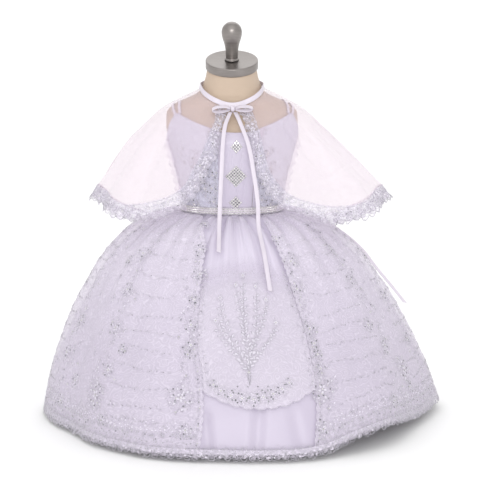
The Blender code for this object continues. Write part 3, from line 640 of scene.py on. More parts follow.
def gem_shape(sides=8, table=0.55, girdle=0.25, crown=0.62):
    """A cut stone or bead, a unit in radius: a girdle, a flat table and, under a raised girdle, a foot."""
    turn = 2 * math.pi * np.arange(sides) / sides
    half = math.pi / sides
    rings = [(1.0, girdle, 0.0), (table, crown, half)]
    if girdle:
        rings.append((1.0, 0.0, 0.0))
    points = [place(r * np.cos(turn + off), r * np.sin(turn + off), z) for r, z, off in rings]
    first = np.arange(sides)
    after = (first + 1) % sides
    slopes = np.concatenate(
        [
            np.stack([first, after, sides + first], -1),
            np.stack([after, sides + after, sides + first], -1),
        ]
    )
    faces = [slopes, (sides + first)[None]]
    if girdle:
        faces.append(np.stack([2 * sides + first, 2 * sides + after, after, first], -1))
    return np.concatenate(points), faces


PETAL = leaf_shape(0.62)
LEAF = leaf_shape(0.95)
GEM = gem_shape()
PEARL = gem_shape(sides=6, girdle=0.0, crown=0.85)


def spread(work, cloth, spots, shape, lift=0.0, height=1.0, width=1.0):
    """Copies of a shape laid on a cloth. A spot is its across, down, right, up, size and turn in degrees."""
    points, faces = shape
    across, down, right, up, size, turn = [np.asarray(spots, dtype=float).T[i][:, None] for i in range(6)]
    cos, sin = np.cos(np.radians(turn)), np.sin(np.radians(turn))
    x, y, z = points[:, 0] * size * width, points[:, 1] * size, points[:, 2] * size * height
    work.add(
        cloth.lay(across, down, right + cos * x - sin * y, up + sin * x + cos * y, lift + z),
        faces,
    )


def cord_on(work, cloth, across, down, right, up, lift, radius, sides=2):
    """Cords laid on a cloth, along arrays (cords, points) of places and of metres from them."""
    shape = np.broadcast_shapes(np.shape(across), np.shape(down), np.shape(right), np.shape(up))
    across, down, right, up = [np.broadcast_to(a, shape) for a in (across, down, right, up)]
    path = cloth.lay(across, down, right, up, lift)
    above = cloth.lay(across, down, right, up, lift + 0.001) - path
    work.tube(path, above, radius, sides)


# ---------------------------------------------------------------- finishes
class Reading:
    """A value that varies over a finish. Sums on readings add Math nodes."""

    def __init__(self, swatch, socket):
        self.swatch = swatch
        self.socket = socket

    def worked(self, operation, *values):
        return self.swatch.node("ShaderNodeMath", {"operation": operation}, dict(enumerate(values)))

    def __add__(self, other):
        return self.worked("ADD", self, other)

    __radd__ = __add__

    def __sub__(self, other):
        return self.worked("SUBTRACT", self, other)

    def __rsub__(self, other):
        return self.worked("SUBTRACT", other, self)

    def __mul__(self, other):
        return self.worked("MULTIPLY", self, other)

    __rmul__ = __mul__

    def wave(self, pitch):
        """A wave from -1 to 1 that repeats at this pitch, in metres."""
        return self.worked("SINE", self * (2 * math.pi / pitch))

    def above_zero(self):
        return self.worked("MAXIMUM", self, 0.0)

    def clamped(self):
        return self.worked("MINIMUM", self.above_zero(), 1.0)

    def ridge_lines(self, count, sharpness):
        """Thin lines, 1 on the line and 0 off it, along the value's own contours."""
        away = self.worked("ABSOLUTE", self.worked("FRACT", self * count) - 0.5)
        return (1.0 - away * sharpness).above_zero()


class Swatch:
    """A finish: a Principled shader with plain settings, and the nodes that vary it."""

    def __init__(self, name, colour, settings):
        self.material = bpy.data.materials.new(name)
        self.material.use_nodes = True
        self.tree = self.material.node_tree
        self.shader = self.tree.nodes["Principled BSDF"]
        self.shader.inputs["Base Color"].default_value = (*colour, 1.0)
        for socket, value in settings.items():
            self.shader.inputs[socket].default_value = value

    def node(self, kind, settings=None, inputs=None, output=0):
        made = self.tree.nodes.new(kind)
        for name, value in (settings or {}).items():
            setattr(made, name, value)
        for name, value in (inputs or {}).items():
            self.feed(made.inputs[name], value)
        return Reading(self, made.outputs[output])

    def feed(self, socket, value):
        if isinstance(value, Reading):
            self.tree.links.new(value.socket, socket)
        else:
            socket.default_value = value

    def vary(self, **sockets):
        """Feeds the shader: an underscore in a socket's name stands for a space."""
        for name, value in sockets.items():
            self.feed(self.shader.inputs[name.replace("_", " ")], value)
        return self

    def coordinates(self, kind, scale=(1, 1, 1), rotation=(0, 0, 0)):
        found = self.node("ShaderNodeTexCoord", output=kind)
        return self.node("ShaderNodeMapping", None, {"Vector": found, "Scale": scale, "Rotation": rotation})

    def apart(self, vector):
        split = self.node("ShaderNodeSeparateXYZ", None, {0: vector})
        return [Reading(self, split.socket.node.outputs[i]) for i in range(3)]

    def noise(self, vector, scale, detail=2.0, roughness=0.5):
        return self.node(
            "ShaderNodeTexNoise", None,
            {"Vector": vector, "Scale": scale, "Detail": detail, "Roughness": roughness},
        )

    def fading(self, down, length):
        """1 at the cloth's upper edge, falling to 0 this far down it."""
        return (1.0 - down * (1 / length)).clamped()

    def tint(self, share, shade, light):
        """A colour from shade to light."""
        inputs = {0: share, 6: (*shade, 1), 7: (*light, 1)}
        return self.node("ShaderNodeMix", {"data_type": "RGBA"}, inputs, output=2)

    def bump(self, height, strength, distance):
        inputs = {"Strength": strength, "Distance": distance, "Height": height}
        return self.vary(Normal=self.node("ShaderNodeBump", None, inputs))


def satin(name, shade, light, pitch=0.00032, roughness=0.36, gathered=0.0):
    """Satin: long floats down the cloth and a cloudy sheen. Over the length gathered it has painted light:
    paler, with painted fold streaks.
    """
    swatch = Swatch(
        name, shade,
        {"Sheen Weight": 0.30, "Sheen Roughness": 0.35, "Specular IOR Level": 0.45, "Coat Roughness": 0.3},
    )
    cloth = swatch.coordinates("UV")
    across, down, _ = swatch.apart(cloth)
    clouds = swatch.noise(cloth, 14.0, 3.0)
    slubs = swatch.noise(swatch.coordinates("UV", scale=(1600, 90, 1)), 1.0, 2.0)
    floats = across.wave(pitch) * 0.5 + down.wave(pitch * 5) * 0.2 + slubs
    tone = clouds
    # Painted light: near the upper edge the colour is pushed towards light, with painted streaks along the
    # folds, to offset the shade of the gathers and the capelet.
    if gathered:
        folds = swatch.noise(swatch.coordinates("UV", scale=(150, 4, 1)), 1.0, 2.0)
        tone = clouds * 0.4 + swatch.fading(down, gathered) * (folds * 1.7 - 0.05)
    swatch.vary(
        Base_Color=swatch.tint(tone, shade, light),
        Roughness=clouds * 0.14 + (roughness - 0.07) + slubs * 0.08,
    )
    return swatch.bump(floats, 0.12, 0.0001).material


def organza(name, shade, light, body, stitched=0.0, pitch=0.00042, fades=0.0, gathered=0.0):
    """Sheer plain weave. body is how much it hides, stitched how strongly scribbled stitching shows on it.

    It grows denser over the length fades from its upper edge, and over the length gathered it has painted
    light: paler, with painted fold streaks.
    """
    swatch = Swatch(name, shade, {"Sheen Weight": 0.25, "Sheen Roughness": 0.3, "Specular IOR Level": 0.4})
    cloth = swatch.coordinates("UV")
    across, down, _ = swatch.apart(cloth)
    clouds = swatch.noise(cloth, 11.0, 3.0)
    threads = across.wave(pitch) * 0.5 + down.wave(pitch) * 0.5
    height, hides = threads * 0.3, threads * 0.06 + clouds * 0.10 + (body - 0.05)
    tone = clouds
    if stitched:
        scribble = swatch.noise(cloth, 62.0, 1.0, 0.4).ridge_lines(9.0, 5.0)
        fine = swatch.noise(cloth, 210.0, 2.0)
        hides = hides + scribble * stitched + fine * 0.10 - 0.05
        height = height + scribble * 2.5 + fine * 1.5
        tone = clouds * 0.7 + scribble * 0.3
    # Painted light: near the upper edge the colour is pushed towards light, with painted streaks along the
    # folds, to offset the shade there.
    if gathered:
        folds = swatch.noise(swatch.coordinates("UV", scale=(110, 5, 1)), 1.0, 2.0)
        tone = tone * 0.5 + swatch.fading(down, gathered) * (folds * 1.5 - 0.05)
    if fades:
        hides = hides * (down * (1 / fades)).clamped()
    swatch.vary(
        Base_Color=swatch.tint(tone, shade, light),
        Roughness=clouds * 0.15 + 0.42,
        Alpha=hides,
    )
    return swatch.bump(height, 0.30, 0.00025).material


def lace_net(name, shade, light, pitch=0.0019, lined=0.0):
    """The ground of a lace: fine net, filled in here and there, and lined with cloth this far down."""
    swatch = Swatch(name, shade, {"Sheen Weight": 0.25, "Sheen Roughness": 0.3, "Specular IOR Level": 0.4})
    cloth = swatch.coordinates("UV")
    across, down, _ = swatch.apart(cloth)
    net = (across + down).ridge_lines(1 / pitch, 3.2) + (across - down).ridge_lines(1 / pitch, 3.2)
    filled = (swatch.noise(cloth, 170.0, 2.0) * 7.0 - 3.6).clamped()
    scribble = swatch.noise(cloth, 120.0, 1.0, 0.4).ridge_lines(7.0, 4.0)
    hides = net * 0.30 + filled * 0.46 + scribble * 0.22 + 0.10
    if lined:
        hides = (hides + ((lined - down) * 300.0).clamped() * 0.8) * (down * 600.0).clamped()
    swatch.vary(
        Base_Color=swatch.tint(filled * 0.6 + scribble * 0.4, shade, light),
        Roughness=filled * 0.15 + 0.42,
        Alpha=hides.clamped(),
    )
    return swatch.bump(scribble * 1.5 + filled * 2.0 + net, 0.35, 0.00025).material


def thread(name, shade, light, metallic=0.0, roughness=0.42, pitch=0.0004):
    """Embroidery thread: close satin stitches, and shades that change from motif to motif."""
    swatch = Swatch(
        name, shade,
        {"Metallic": metallic, "Sheen Weight": 0.2, "Sheen Roughness": 0.4, "Specular IOR Level": 0.5},
    )
    spot = swatch.coordinates("Object")
    across, _, down = swatch.apart(spot)
    clouds = swatch.noise(spot, 90.0, 2.0)
    stitches = (across + down * 0.8).wave(pitch)
    swatch.vary(
        Base_Color=swatch.tint(clouds + stitches * 0.08, shade, light),
        Roughness=clouds * 0.2 + (roughness - 0.1),
    )
    return swatch.bump(stitches + clouds, 0.35, 0.00015).material


def cut_glass(name, dark, bright):
    """Foiled stones with painted reflections: each stone, and each facet, has its own painted reflection,
    lighter or darker, in its colour.
    """
    swatch = Swatch(name, bright, {"Metallic": 0.6, "Specular IOR Level": 0.7, "Coat Weight": 0.6})
    spot = swatch.coordinates("Object")
    facet, other, _ = swatch.apart(
        swatch.node("ShaderNodeTexVoronoi", None, {"Vector": spot, "Scale": 1300.0}, output="Color")
    )
    stone, _, _ = swatch.apart(
        swatch.node("ShaderNodeTexVoronoi", None, {"Vector": spot, "Scale": 330.0}, output="Color")
    )
    # Painted reflections: the colour runs from dark to bright by facet and by stone.
    swatch.vary(
        Base_Color=swatch.tint(facet * 0.55 + stone * 0.75 - 0.15, dark, bright),
        Roughness=other * 0.16 + 0.05,
    )
    return swatch.material


def ribbon_satin(name, shade, light):
    """Narrow satin ribbon: floats along its length and a firm woven edge."""
    swatch = Swatch(name, shade, {"Sheen Weight": 0.35, "Sheen Roughness": 0.3, "Specular IOR Level": 0.5})
    across, along, _ = swatch.apart(swatch.coordinates("UV"))
    clouds = swatch.noise(swatch.coordinates("UV"), 60.0, 2.0)
    floats = across.wave(0.00024) * 0.6 + along.wave(0.0011) * 0.25
    swatch.vary(
        Base_Color=swatch.tint(clouds, shade, light),
        Roughness=clouds * 0.14 + 0.24,
    )
    return swatch.bump(floats, 0.15, 0.0001).material


def linen(name, shade, light):
    """The form's cover: a plain weave with slubs."""
    swatch = Swatch(name, shade, {"Sheen Weight": 0.15, "Sheen Roughness": 0.5, "Specular IOR Level": 0.25})
    spot = swatch.coordinates("Object")
    across, deep, up = swatch.apart(spot)
    slubs = swatch.noise(swatch.coordinates("Object", scale=(70, 70, 900)), 1.0, 3.0)
    clouds = swatch.noise(spot, 17.0, 3.0)
    weave = up.wave(0.0008) * 0.5 + (across + deep).wave(0.0008) * 0.5
    swatch.vary(
        Base_Color=swatch.tint(clouds * 0.6 + slubs * 0.3 + weave * 0.10, shade, light),
        Roughness=slubs * 0.15 + 0.72,
    )
    return swatch.bump(weave + slubs * 1.4, 0.35, 0.0003).material


def brushed_metal(name, shade, light, rotation=(0, 0, 0)):
    """Brushed metal: fine lines round the piece, with painted reflections in their colour as light and dark
    bands along them, and brighter patches.
    """
    swatch = Swatch(name, shade, {"Metallic": 1.0, "Specular IOR Level": 0.5})
    turned = swatch.coordinates("Object", scale=(40, 40, 1500), rotation=rotation)
    lines = swatch.noise(turned, 1.0, 3.0, 0.6)
    clouds = swatch.noise(swatch.coordinates("Object"), 45.0, 2.0)
    # Painted reflections: the base colour runs from dark to light along the brushed lines, as light and dark
    # bands.
    swatch.vary(
        Base_Color=swatch.tint(lines * 0.6 + clouds * 0.4, shade, light),
        Roughness=lines * 0.16 + clouds * 0.12 + 0.22,
    )
    return swatch.bump(lines, 0.10, 0.0001).material


def studio_paper(name, colour):
    swatch = Swatch(name, colour, {"Specular IOR Level": 0.1})
    grain = swatch.noise(swatch.coordinates("Object"), 40.0, 2.0)
    return swatch.vary(Roughness=grain * 0.1 + 0.85).material


# SATIN and SHEER carry painted light: paler near the waist, with painted fold streaks, over their gathered
# length.
SATIN = satin("satin", (0.500, 0.450, 0.555), (0.680, 0.628, 0.742), gathered=0.34)
BODICE_SATIN = satin("bodice_satin", (0.560, 0.510, 0.617), (0.615, 0.564, 0.670), pitch=0.00028)
SHEER = organza(
    "embroidered_organza", (0.695, 0.640, 0.748), (0.860, 0.805, 0.905), 0.58, 0.13, gathered=0.30,
)
APRON_SHEER = organza("apron_organza", (0.725, 0.672, 0.776), (0.825, 0.772, 0.870), 0.54, 0.11, fades=0.06)
# The bodice's organza is partly its own bluish lilac and partly painted light: paler and denser than the
# skirt's, to offset the shade under the capelet.
BODICE_SHEER = organza("bodice_organza", (0.726, 0.716, 0.838), (0.806, 0.798, 0.912), 0.66, 0.13)
CAPE_SHEER = organza("cape_organza", (0.750, 0.622, 0.705), (0.805, 0.678, 0.762), 0.32)
LACE_GROUND = lace_net("lace_ground", (0.660, 0.608, 0.712), (0.790, 0.740, 0.832))
HEM_GROUND = lace_net("hem_lace_ground", (0.665, 0.612, 0.718), (0.780, 0.728, 0.826), lined=0.0100)
THREADS = thread("embroidery_thread", (0.660, 0.620, 0.710), (0.780, 0.742, 0.825))
CORDING = thread("cord_thread", (0.585, 0.550, 0.632), (0.735, 0.700, 0.775), metallic=0.05, roughness=0.38)
SILVER = thread("silver_cord", (0.420, 0.400, 0.452), (0.625, 0.600, 0.658), metallic=0.10, roughness=0.36)
BEADS = thread("silver_beads", (0.52, 0.505, 0.53), (0.84, 0.82, 0.85), metallic=0.45, roughness=0.26)
# GLASS has painted reflections by facet and by stone.
GLASS = cut_glass("stones", (0.60, 0.585, 0.565), (0.98, 0.97, 0.94))
# Stones painted dark: painted dark reflections on silver stones, and painted shade in the gaps between set
# stones.
PAINTED_DARK_GLASS = cut_glass("stones_painted_dark", (0.06, 0.06, 0.07), (0.46, 0.46, 0.49))
RIBBON = ribbon_satin("satin_ribbon", (0.635, 0.578, 0.660), (0.700, 0.650, 0.722))
LINEN = linen("linen_cover", (0.510, 0.398, 0.306), (0.590, 0.473, 0.377))
# METAL and STAND_METAL carry painted reflection bands in their colour.
METAL = brushed_metal(
    "brushed_metal", (0.165, 0.149, 0.143), (0.395, 0.366, 0.350), rotation=(CAP_TILT, 0, 0),
)
STAND_METAL = brushed_metal("stand_metal", (0.22, 0.21, 0.20), (0.44, 0.42, 0.40))


# ---------------------------------------------------------------- the dress form
AROUND = steps(0, 360, 96)[:-1]


def turned_on_neck(name, profile, replaces):
    """A turned piece on the neck's tilted axis. profile is (radius, height), from the top down."""
    turn = np.radians(AROUND)
    radius, height = np.asarray(profile).T
    x = radius[:, None] * np.sin(turn)
    y = -radius[:, None] * np.cos(turn)
    z = np.broadcast_to(height[:, None], x.shape)
    middle = FORM.read("centre_y", FORM_TOP)
    placed = place(
        x, middle + y * math.cos(CAP_TILT) - z * math.sin(CAP_TILT),
        FORM_TOP + y * math.sin(CAP_TILT) + z * math.cos(CAP_TILT),
    )
    work = Work()
    work.grid(placed, closed=True)
    work.cap(placed)
    work.piece(name, METAL, "metal", replaces=replaces)


def quarter(radius, height, size, start, end, count=6):
    """A rounded corner: points on a quarter circle of this size round a middle."""
    turn = np.radians(np.linspace(start, end, count))
    return [(radius + size * math.cos(t), height + size * math.sin(t)) for t in turn]


def make_form():
    """The covered torso, the neck cap with its rolled rim, and the finial."""
    skin = form_skin(AROUND[None, :], steps(FORM_TOP, FORM_FOOT, 100)[:, None])
    torso = Work()
    torso.grid(skin, closed=True)
    torso.cap(skin)
    torso.piece("covered_torso", LINEN, "linen", replaces=["form_torso"])

    edge, low = 0.0014, SEAM_GAP
    top = low + CAP_THICK
    turned_on_neck(
        "neck_cap",
        [(0.0005, top - 0.0003), (CAP_RADIUS - 0.0060, top - 0.0003), (CAP_RADIUS - 0.0045, top - 0.0001)]
        + quarter(CAP_RADIUS - edge, top - edge, edge, 90, 0)
        + quarter(CAP_RADIUS - edge, low + edge, edge, 0, -90)
        + [(0.0005, low)],
        ["form_neck_cap"],
    )
    foot = CAP_THICK + 2 * SEAM_GAP
    outline = [
        (0.0003, 0.0620), (0.0045, 0.0615), (0.0085, 0.0600), (0.0136, 0.0548), (0.0158, 0.0480),
        (0.0156, 0.0415), (0.0142, 0.0350), (0.0120, 0.0275), (0.0104, 0.0190), (0.0096, 0.0100),
        (0.0094, 0.0030),
    ]
    knob = [(abs(r), h + foot) for r, h in smooth_path([(r, h, 0) for r, h in outline], 70)[:, :2]]
    collar = quarter(0.0104, foot + 0.0013, 0.0010, 90, -90)
    turned_on_neck("finial", knob + collar + [(0.0004, foot)], ["form_finial"])
    for name in ("form_pole", "form_stand"):
        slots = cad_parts[name].data.materials
        if len(slots):
            slots[0] = STAND_METAL
        else:
            slots.append(STAND_METAL)


# ---------------------------------------------------------------- the bodice
BODICE_CREASES = named(
    CREASE,
    [
        (-9, 3, 0.24, 0.98, 3.0, 0.0007), (-4, 2, 0.18, 0.50, 2.2, 0.0006),
        (6, -2, 0.20, 0.60, 2.6, 0.0007), (11, -3, 0.45, 0.98, 3.0, 0.0008),
        (2, 0, 0.62, 0.98, 2.4, 0.0006),
    ],
)


# Each strap's route over the shoulder, as angle and height on the form.
STRAP_ROUTES = {
    "outer": [
        (61, 0.4838), (68, 0.4895), (78, 0.4945), (92, 0.4968),
        (108, 0.4945), (122, 0.4860), (136, 0.4735), (147, 0.4590),
    ],
    "inner": [
        (54.5, 0.4848), (60, 0.4925), (72, 0.4995), (90, 0.5022),
        (110, 0.5000), (126, 0.4900), (140, 0.4755), (151.5, 0.4585),
    ],
}


def bodice_satin(angle, share, out=0.0):
    return bodice_cloth(angle, share, crease_depth(BODICE_CREASES, angle, share) + out)


def make_bodice():
    """Five satin panels, pressed in at their seams, a bound upper edge and two straps on each shoulder."""
    front, side, back = BODICE_SEAMS
    seam, turned_in = 0.17, 0.0006
    spans = {
        "front": (-front + seam, front - seam, 48),
        "side_left": (front + seam, side - seam, 64),
        "side_right": (-side + seam, -front - seam, 64),
        "back_left": (side + seam, back - seam, 64),
        "back_right": (-back + seam, -side - seam, 64),
    }
    rows = steps(0, 1, 48)[:, None]
    for name, (start, end, count) in spans.items():
        columns = steps(start, end, count)[None, :]
        to_seam = np.minimum(columns - start, end - columns)
        seamed, stitched = np.exp(-((to_seam / 0.9) ** 2)), np.exp(-(((to_seam - 2.2) / 0.5) ** 2))
        pressed = turned_in * (seamed + 0.4 * stitched)
        panel = cloth_piece(
            f"bodice_{name}_satin", bodice_satin(columns, rows, -pressed), BODICE_SATIN, "satin",
            replaces=["bodice_" + name],
        )

    binding = Work()
    round_it = np.linspace(-179.5, 179.5, 260)[None, :]
    cord_on(binding, BODICE, round_it, 0.0, 0.0, 0.0005, lift=-0.0002, radius=0.0009, sides=6)
    binding.piece("neckline_binding", BODICE_SATIN, "satin")

    for name, route in STRAP_ROUTES.items():
        for side_name, sign in SIDES:
            angle, height = smooth_path([(a, h, 0) for a, h in route], 60)[:, :2].T
            angle = sign * angle + BODICE_TURN
            path = off_form(angle, height, STRAP_CLEAR + RIBBON_THICK / 2)
            lie = np.cross(np.gradient(path, axis=0), form_normal(angle, height))
            cloth_piece(
                f"{name}_strap_{side_name}", ribbon_points(path, lie, STRAP_WIDTH), RIBBON, "satin",
                replaces=[f"strap_{name}_{side_name}"], thickness=0.0008, offset=0.0,
            )


# ---------------------------------------------------------------- the waist and the bows
WAIST_BAND_HEIGHT = 0.0118
TIE_LIFT = 0.0014
WAIST_RADIUS = 0.080
ON_WAIST = BODICE_CLEAR + BODICE_THICK + RIBBON_THICK + 3 * SEAM_GAP


def waist_ribbon(angle, share, out=0.0, low=2 * SEAM_GAP, high=2 * SEAM_GAP + WAIST_BAND_HEIGHT):
    """Points on a ribbon round the waist: share 0 is its upper edge."""
    return off_form(angle, WAIST_HEIGHT + high + (low - high) * share, ON_WAIST + out)


def make_waist():
    """The band across the front and the ribbon that ties at the back."""
    rows = steps(0, 1, 10)[:, None]
    rounded = 0.0005 * np.sin(np.pi * rows)
    points = waist_ribbon(steps(-91, 91, 150)[None, :], rows, rounded)
    band = cloth_piece(
        "waist_ribbon_front", points, RIBBON, "stone_trim",
        replaces=["waist_band"], thickness=RIBBON_THICK, offset=-1.0,
    )
    for name, start, end in (("tie_left", 91.6, 178.9), ("tie_right", -178.9, -91.6)):
        columns = steps(start, end, 120)[None, :]
        creased = 0.0004 * np.sin(columns * 0.55) * np.sin(np.pi * rows) + rounded * 0.6
        points = waist_ribbon(columns, rows, creased, TIE_LIFT, TIE_LIFT + RIBBON_WIDTH)
        cloth_piece(
            "waist_" + name, points, RIBBON, "ribbon",
            replaces=[name], thickness=RIBBON_THICK * 0.8, offset=-1.0,
        )


def make_knot(name, centre, size, replaces):
    """A flat knot: ribbon wrapped upright round the middle, with soft pleats where it is drawn in."""
    turn = np.radians(steps(0, 360, 48)[:-1])[None, :]
    rise = np.radians(steps(90, -90, 24))[:, None]
    ring = [np.sign(circle) * np.abs(circle) ** 0.8 for circle in (np.cos(turn), np.sin(turn))]
    flat = np.abs(np.cos(rise)) ** 0.55
    pleats = 1 + 0.07 * np.cos(5 * turn + 0.6) * np.cos(rise) - 0.05 * np.cos(2 * turn)
    x = size[0] / 2 * flat * pleats * ring[0]
    y = size[1] / 2 * flat * pleats * ring[1]
    z = size[2] / 2 * np.sin(rise) * (1 + 0.05 * np.cos(3 * turn))
    work = Work()
    work.grid(place(x, y, z) + np.asarray(centre), closed=True)
    work.piece(name, RIBBON, "ribbon", replaces=replaces)


# A loop's outline, in shares of its reach and of its height; how far a loose ribbon's middle stands out; how
# far a tail's cut end slants to each side.
LOOP = ((0.0, 0.10), (0.25, 0.36), (0.70, 0.42), (1.0, 0.0), (0.72, -0.44), (0.25, -0.34), (0.0, -0.10))
RIBBON_BOW = 0.0002
TAIL_SLANT = 0.0016


def make_bow(prefix, centre, forward, lie, loops, knot_size):
    """A knot and two ribbon loops, each (side, reach, rise, height). lie is along the ribbon's width."""
    centre, forward, lie = np.asarray(centre), np.asarray(forward), np.asarray(lie)
    make_knot(prefix + "_wrapped_knot", centre, knot_size, [prefix + "_knot"])
    start = knot_size[0] / 2 + SEAM_GAP
    for side, reach, rise, height in loops:
        outline = [np.array((side * (start + x * reach), 0, z * height + rise * x)) for x, z in LOOP]
        points = [centre + at + forward * (0.3 * x * reach) for at, (x, _) in zip(outline, LOOP)]
        path = smooth_path(points, 72)
        hand = "left" if side > 0 else "right"
        ribbon = ribbon_points(path, lie, RIBBON_WIDTH, RIBBON_BOW)
        cloth_piece(
            f"{prefix}_soft_loop_{hand}", ribbon, RIBBON, "ribbon",
            replaces=[f"{prefix}_loop_{hand}"], thickness=LOOSE_RIBBON, offset=0.0,
        )


def make_tail(name, points, lie):
    """A bow's tail: a flat ribbon that hangs free, with its end cut across at a slant."""
    path = smooth_path(points, 150)
    grid = ribbon_points(path, lie, RIBBON_WIDTH, RIBBON_BOW)
    slant = np.linspace(-1, 1, grid.shape[1]) * TAIL_SLANT
    grid[-1] = grid[-1] + unit(path[-1] - path[-3]) * slant[:, None]
    tail = cloth_piece(
        name + "_ribbon", grid, RIBBON, "ribbon", replaces=[name], thickness=LOOSE_RIBBON, offset=0.0,
    )


def off_sheer(angle, share, out):
    """A point this far off the sheer layer's plain fall."""
    return off_skirt(angle, share, SKIRT.read("stand_off", share) + out)


BACK_BOW = np.array((0.0, 0.0702, WAIST_HEIGHT + 0.0078))
NECK_BOW = np.array((0.0016, -0.0556, 0.4955))


def make_bows():
    """The bow at the back of the waist and the one at the throat, with their long tails."""
    make_tail(
        "back_tail_left",
        [BACK_BOW + np.array((0.0015, 0.0082, -0.0012))]
        + [
            off_sheer(*spot)
            for spot in (
                (160, 0.060, 0.0070), (145, 0.120, 0.0060), (129, 0.190, 0.0055), (114, 0.270, 0.0050),
                (104, 0.360, 0.0050), (98, 0.450, 0.0050), (94, 0.525, 0.0070), (91, 0.590, 0.0125),
            )
        ],
        (0.75, 0.85, 0.15),
    )
    make_tail(
        "back_tail_right",
        [BACK_BOW + np.array((-0.0037, 0.0048, -0.0012))]
        + [
            off_sheer(*spot)
            for spot in (
                (-172, 0.065, 0.0070), (-169, 0.130, 0.0055), (-166, 0.200, 0.0050),
                (-163, 0.300, 0.0050), (-160, 0.400, 0.0050), (-157, 0.500, 0.0050),
            )
        ],
        (1.0, 0.1, 0.0),
    )
    make_tail(
        "neck_tail_left",
        [
            NECK_BOW + np.array((0.0037, -0.0012, -0.0052)), (0.0130, -0.0780, 0.4760),
            (0.0262, -0.0975, 0.4420), (0.0340, -0.1090, 0.4000), (0.0400, -0.1190, 0.3580),
            off_sheer(17, 0.150, 0.0060), off_sheer(15.5, 0.270, 0.0045), off_sheer(14.5, 0.420, 0.0045),
        ],
        (1.0, 0.25, 0.0),
    )
    make_tail(
        "neck_tail_right",
        [
            NECK_BOW + np.array((-0.0037, -0.0012, -0.0052)), (-0.0100, -0.0800, 0.4720),
            (-0.0135, -0.0955, 0.4450), (-0.0150, -0.1050, 0.4150), (-0.0170, -0.1120, 0.3750),
            (-0.0183, -0.1180, 0.3420), off_sheer(-7.5, 0.160, 0.0060), off_sheer(-6.3, 0.260, 0.0045),
        ],
        (1.0, 0.25, 0.0),
    )
    make_bow(
        "back_bow", BACK_BOW, (0, 1, 0), (0, 1, 0.75),
        [(1, 0.030, 0.004, 0.010), (-1, 0.028, 0.003, 0.010)], (0.0075, 0.0092, 0.0066),
    )
    make_bow(
        "neck_bow", NECK_BOW, (0, -1, 0), (0, -1, -0.75),
        [(1, 0.027, 0.001, 0.0075), (-1, 0.028, -0.001, 0.0090)], (0.0072, 0.0100, 0.0090),
    )


# ---------------------------------------------------------------- the skirt
PANEL_NAMES = ("front", "side_left", "back_left", "back_right", "side_right")
SKIRT_FALL = 0.455
OPENING_SCALLOPS = 38
SIDE_SEAM_ANGLE = 108.0
SEAM_ANGLE = 0.04
CLOTH_FOOT = CLOTH_END + HEM_LAP


def panel_span(index):
    """Where a skirt panel starts and ends, with a seam's gap off each side."""
    width = 360 / SKIRT_PANELS
    start = -width / 2 + index * width
    return start + SEAM_ANGLE, start + width - SEAM_ANGLE


def make_satin_skirt():
    """Five gathered gores, each with its hem turned up and its upper edge tucked in under the waist."""
    rows = CLOTH_FOOT * steps(0, 1, 96) ** 1.12
    from_hem = (CLOTH_FOOT - rows) * SKIRT_FALL
    stitched, rolled = np.exp(-(((from_hem - SATIN_HEM) / 0.0010) ** 2)), np.exp(-from_hem / 0.0008)
    hem_stitches = 0.0004 * stitched + 0.0005 * rolled
    for index, name in enumerate(PANEL_NAMES):
        start, end = panel_span(index)
        columns = steps(start, end, 96 if name == "front" else 70)[None, :]
        seam = off_form(columns, WAIST_HEIGHT - 0.0004, BODICE_CLEAR)
        points = np.concatenate([seam, satin_skirt(columns, rows[:, None], -hem_stitches[:, None])])
        gore = cloth_piece("satin_gore_" + name, points, SATIN, "satin", replaces=["skirt_" + name])


def opening_edge(side, share, reach=0.0028):
    """The sheer layer's front edge on one side: its angle, with small scallops towards the middle."""
    edge = OPENING.read("left" if side < 0 else "right", share)
    lobes = scallops(OPENING_SCALLOPS * share) * np.clip(share * 12 - 0.6, 0, 1)
    return edge - side * np.degrees(reach * lobes / SKIRT.read("half_depth", share))


def make_sheer_skirt():
    """The sheer layer, open down the front: a front and a back piece on each side."""
    for name, side in SIDES:
        rows = CLOTH_FOOT * steps(0, 1, 228)[:, None]
        run = steps(0, 1, 64)[None, :] ** 1.15
        edge = opening_edge(side, rows)
        columns = edge + (side * (SIDE_SEAM_ANGLE - SEAM_ANGLE) - edge) * run
        front = cloth_piece(
            f"organza_front_{name}", facing_out(sheer_skirt(columns, rows), side), SHEER, "organza",
            replaces=["sheer_front_" + name],
        )
        rows = CLOTH_FOOT * steps(0, 1, 100)[:, None]
        columns = side * steps(SIDE_SEAM_ANGLE + SEAM_ANGLE, 180 - SEAM_ANGLE, 64)[None, :]
        back = cloth_piece(
            f"organza_back_{name}", facing_out(sheer_skirt(columns, rows), side), SHEER, "organza",
            replaces=["sheer_back_" + name],
        )


def apron_place(column, down):
    """A place on the apron: its angle and share. column runs from -1 to 1, and down from 0 to 1."""
    rounding = np.abs(column) ** 2.2
    top = APRON_ENDS["top"] + (APRON_ENDS["top_side"] - APRON_ENDS["top"]) * rounding
    end = APRON_ENDS["middle"] + (APRON_ENDS["side"] - APRON_ENDS["middle"]) * rounding
    share = top + (end - top) * down
    left, right = OPENING.read("left", share), OPENING.read("right", share)
    return (left + right) / 2 + column * APRON_FILL * (right - left) / 2, share


APRON_SCALLOPS = 9


def apron_foot(column):
    """How much further down, in shares of the skirt, the apron's scallops reach at its foot."""
    return 0.0030 * scallops(APRON_SCALLOPS * (column + 1) / 2) / SKIRT_FALL


def make_apron():
    """The sheer panel in the skirt's opening, with rounded ends and a scalloped foot."""
    column = steps(-1, 1, 63)[None, :]
    rows = steps(0, 1, 80)[:, None]
    angle, share = apron_place(column, rows)
    apron = cloth_piece(
        "apron_organza", apron_skirt(angle, share + apron_foot(column) * rows**6), APRON_SHEER, "organza",
        replaces=["skirt_apron"], thickness=0.0004, offset=0.0,
    )


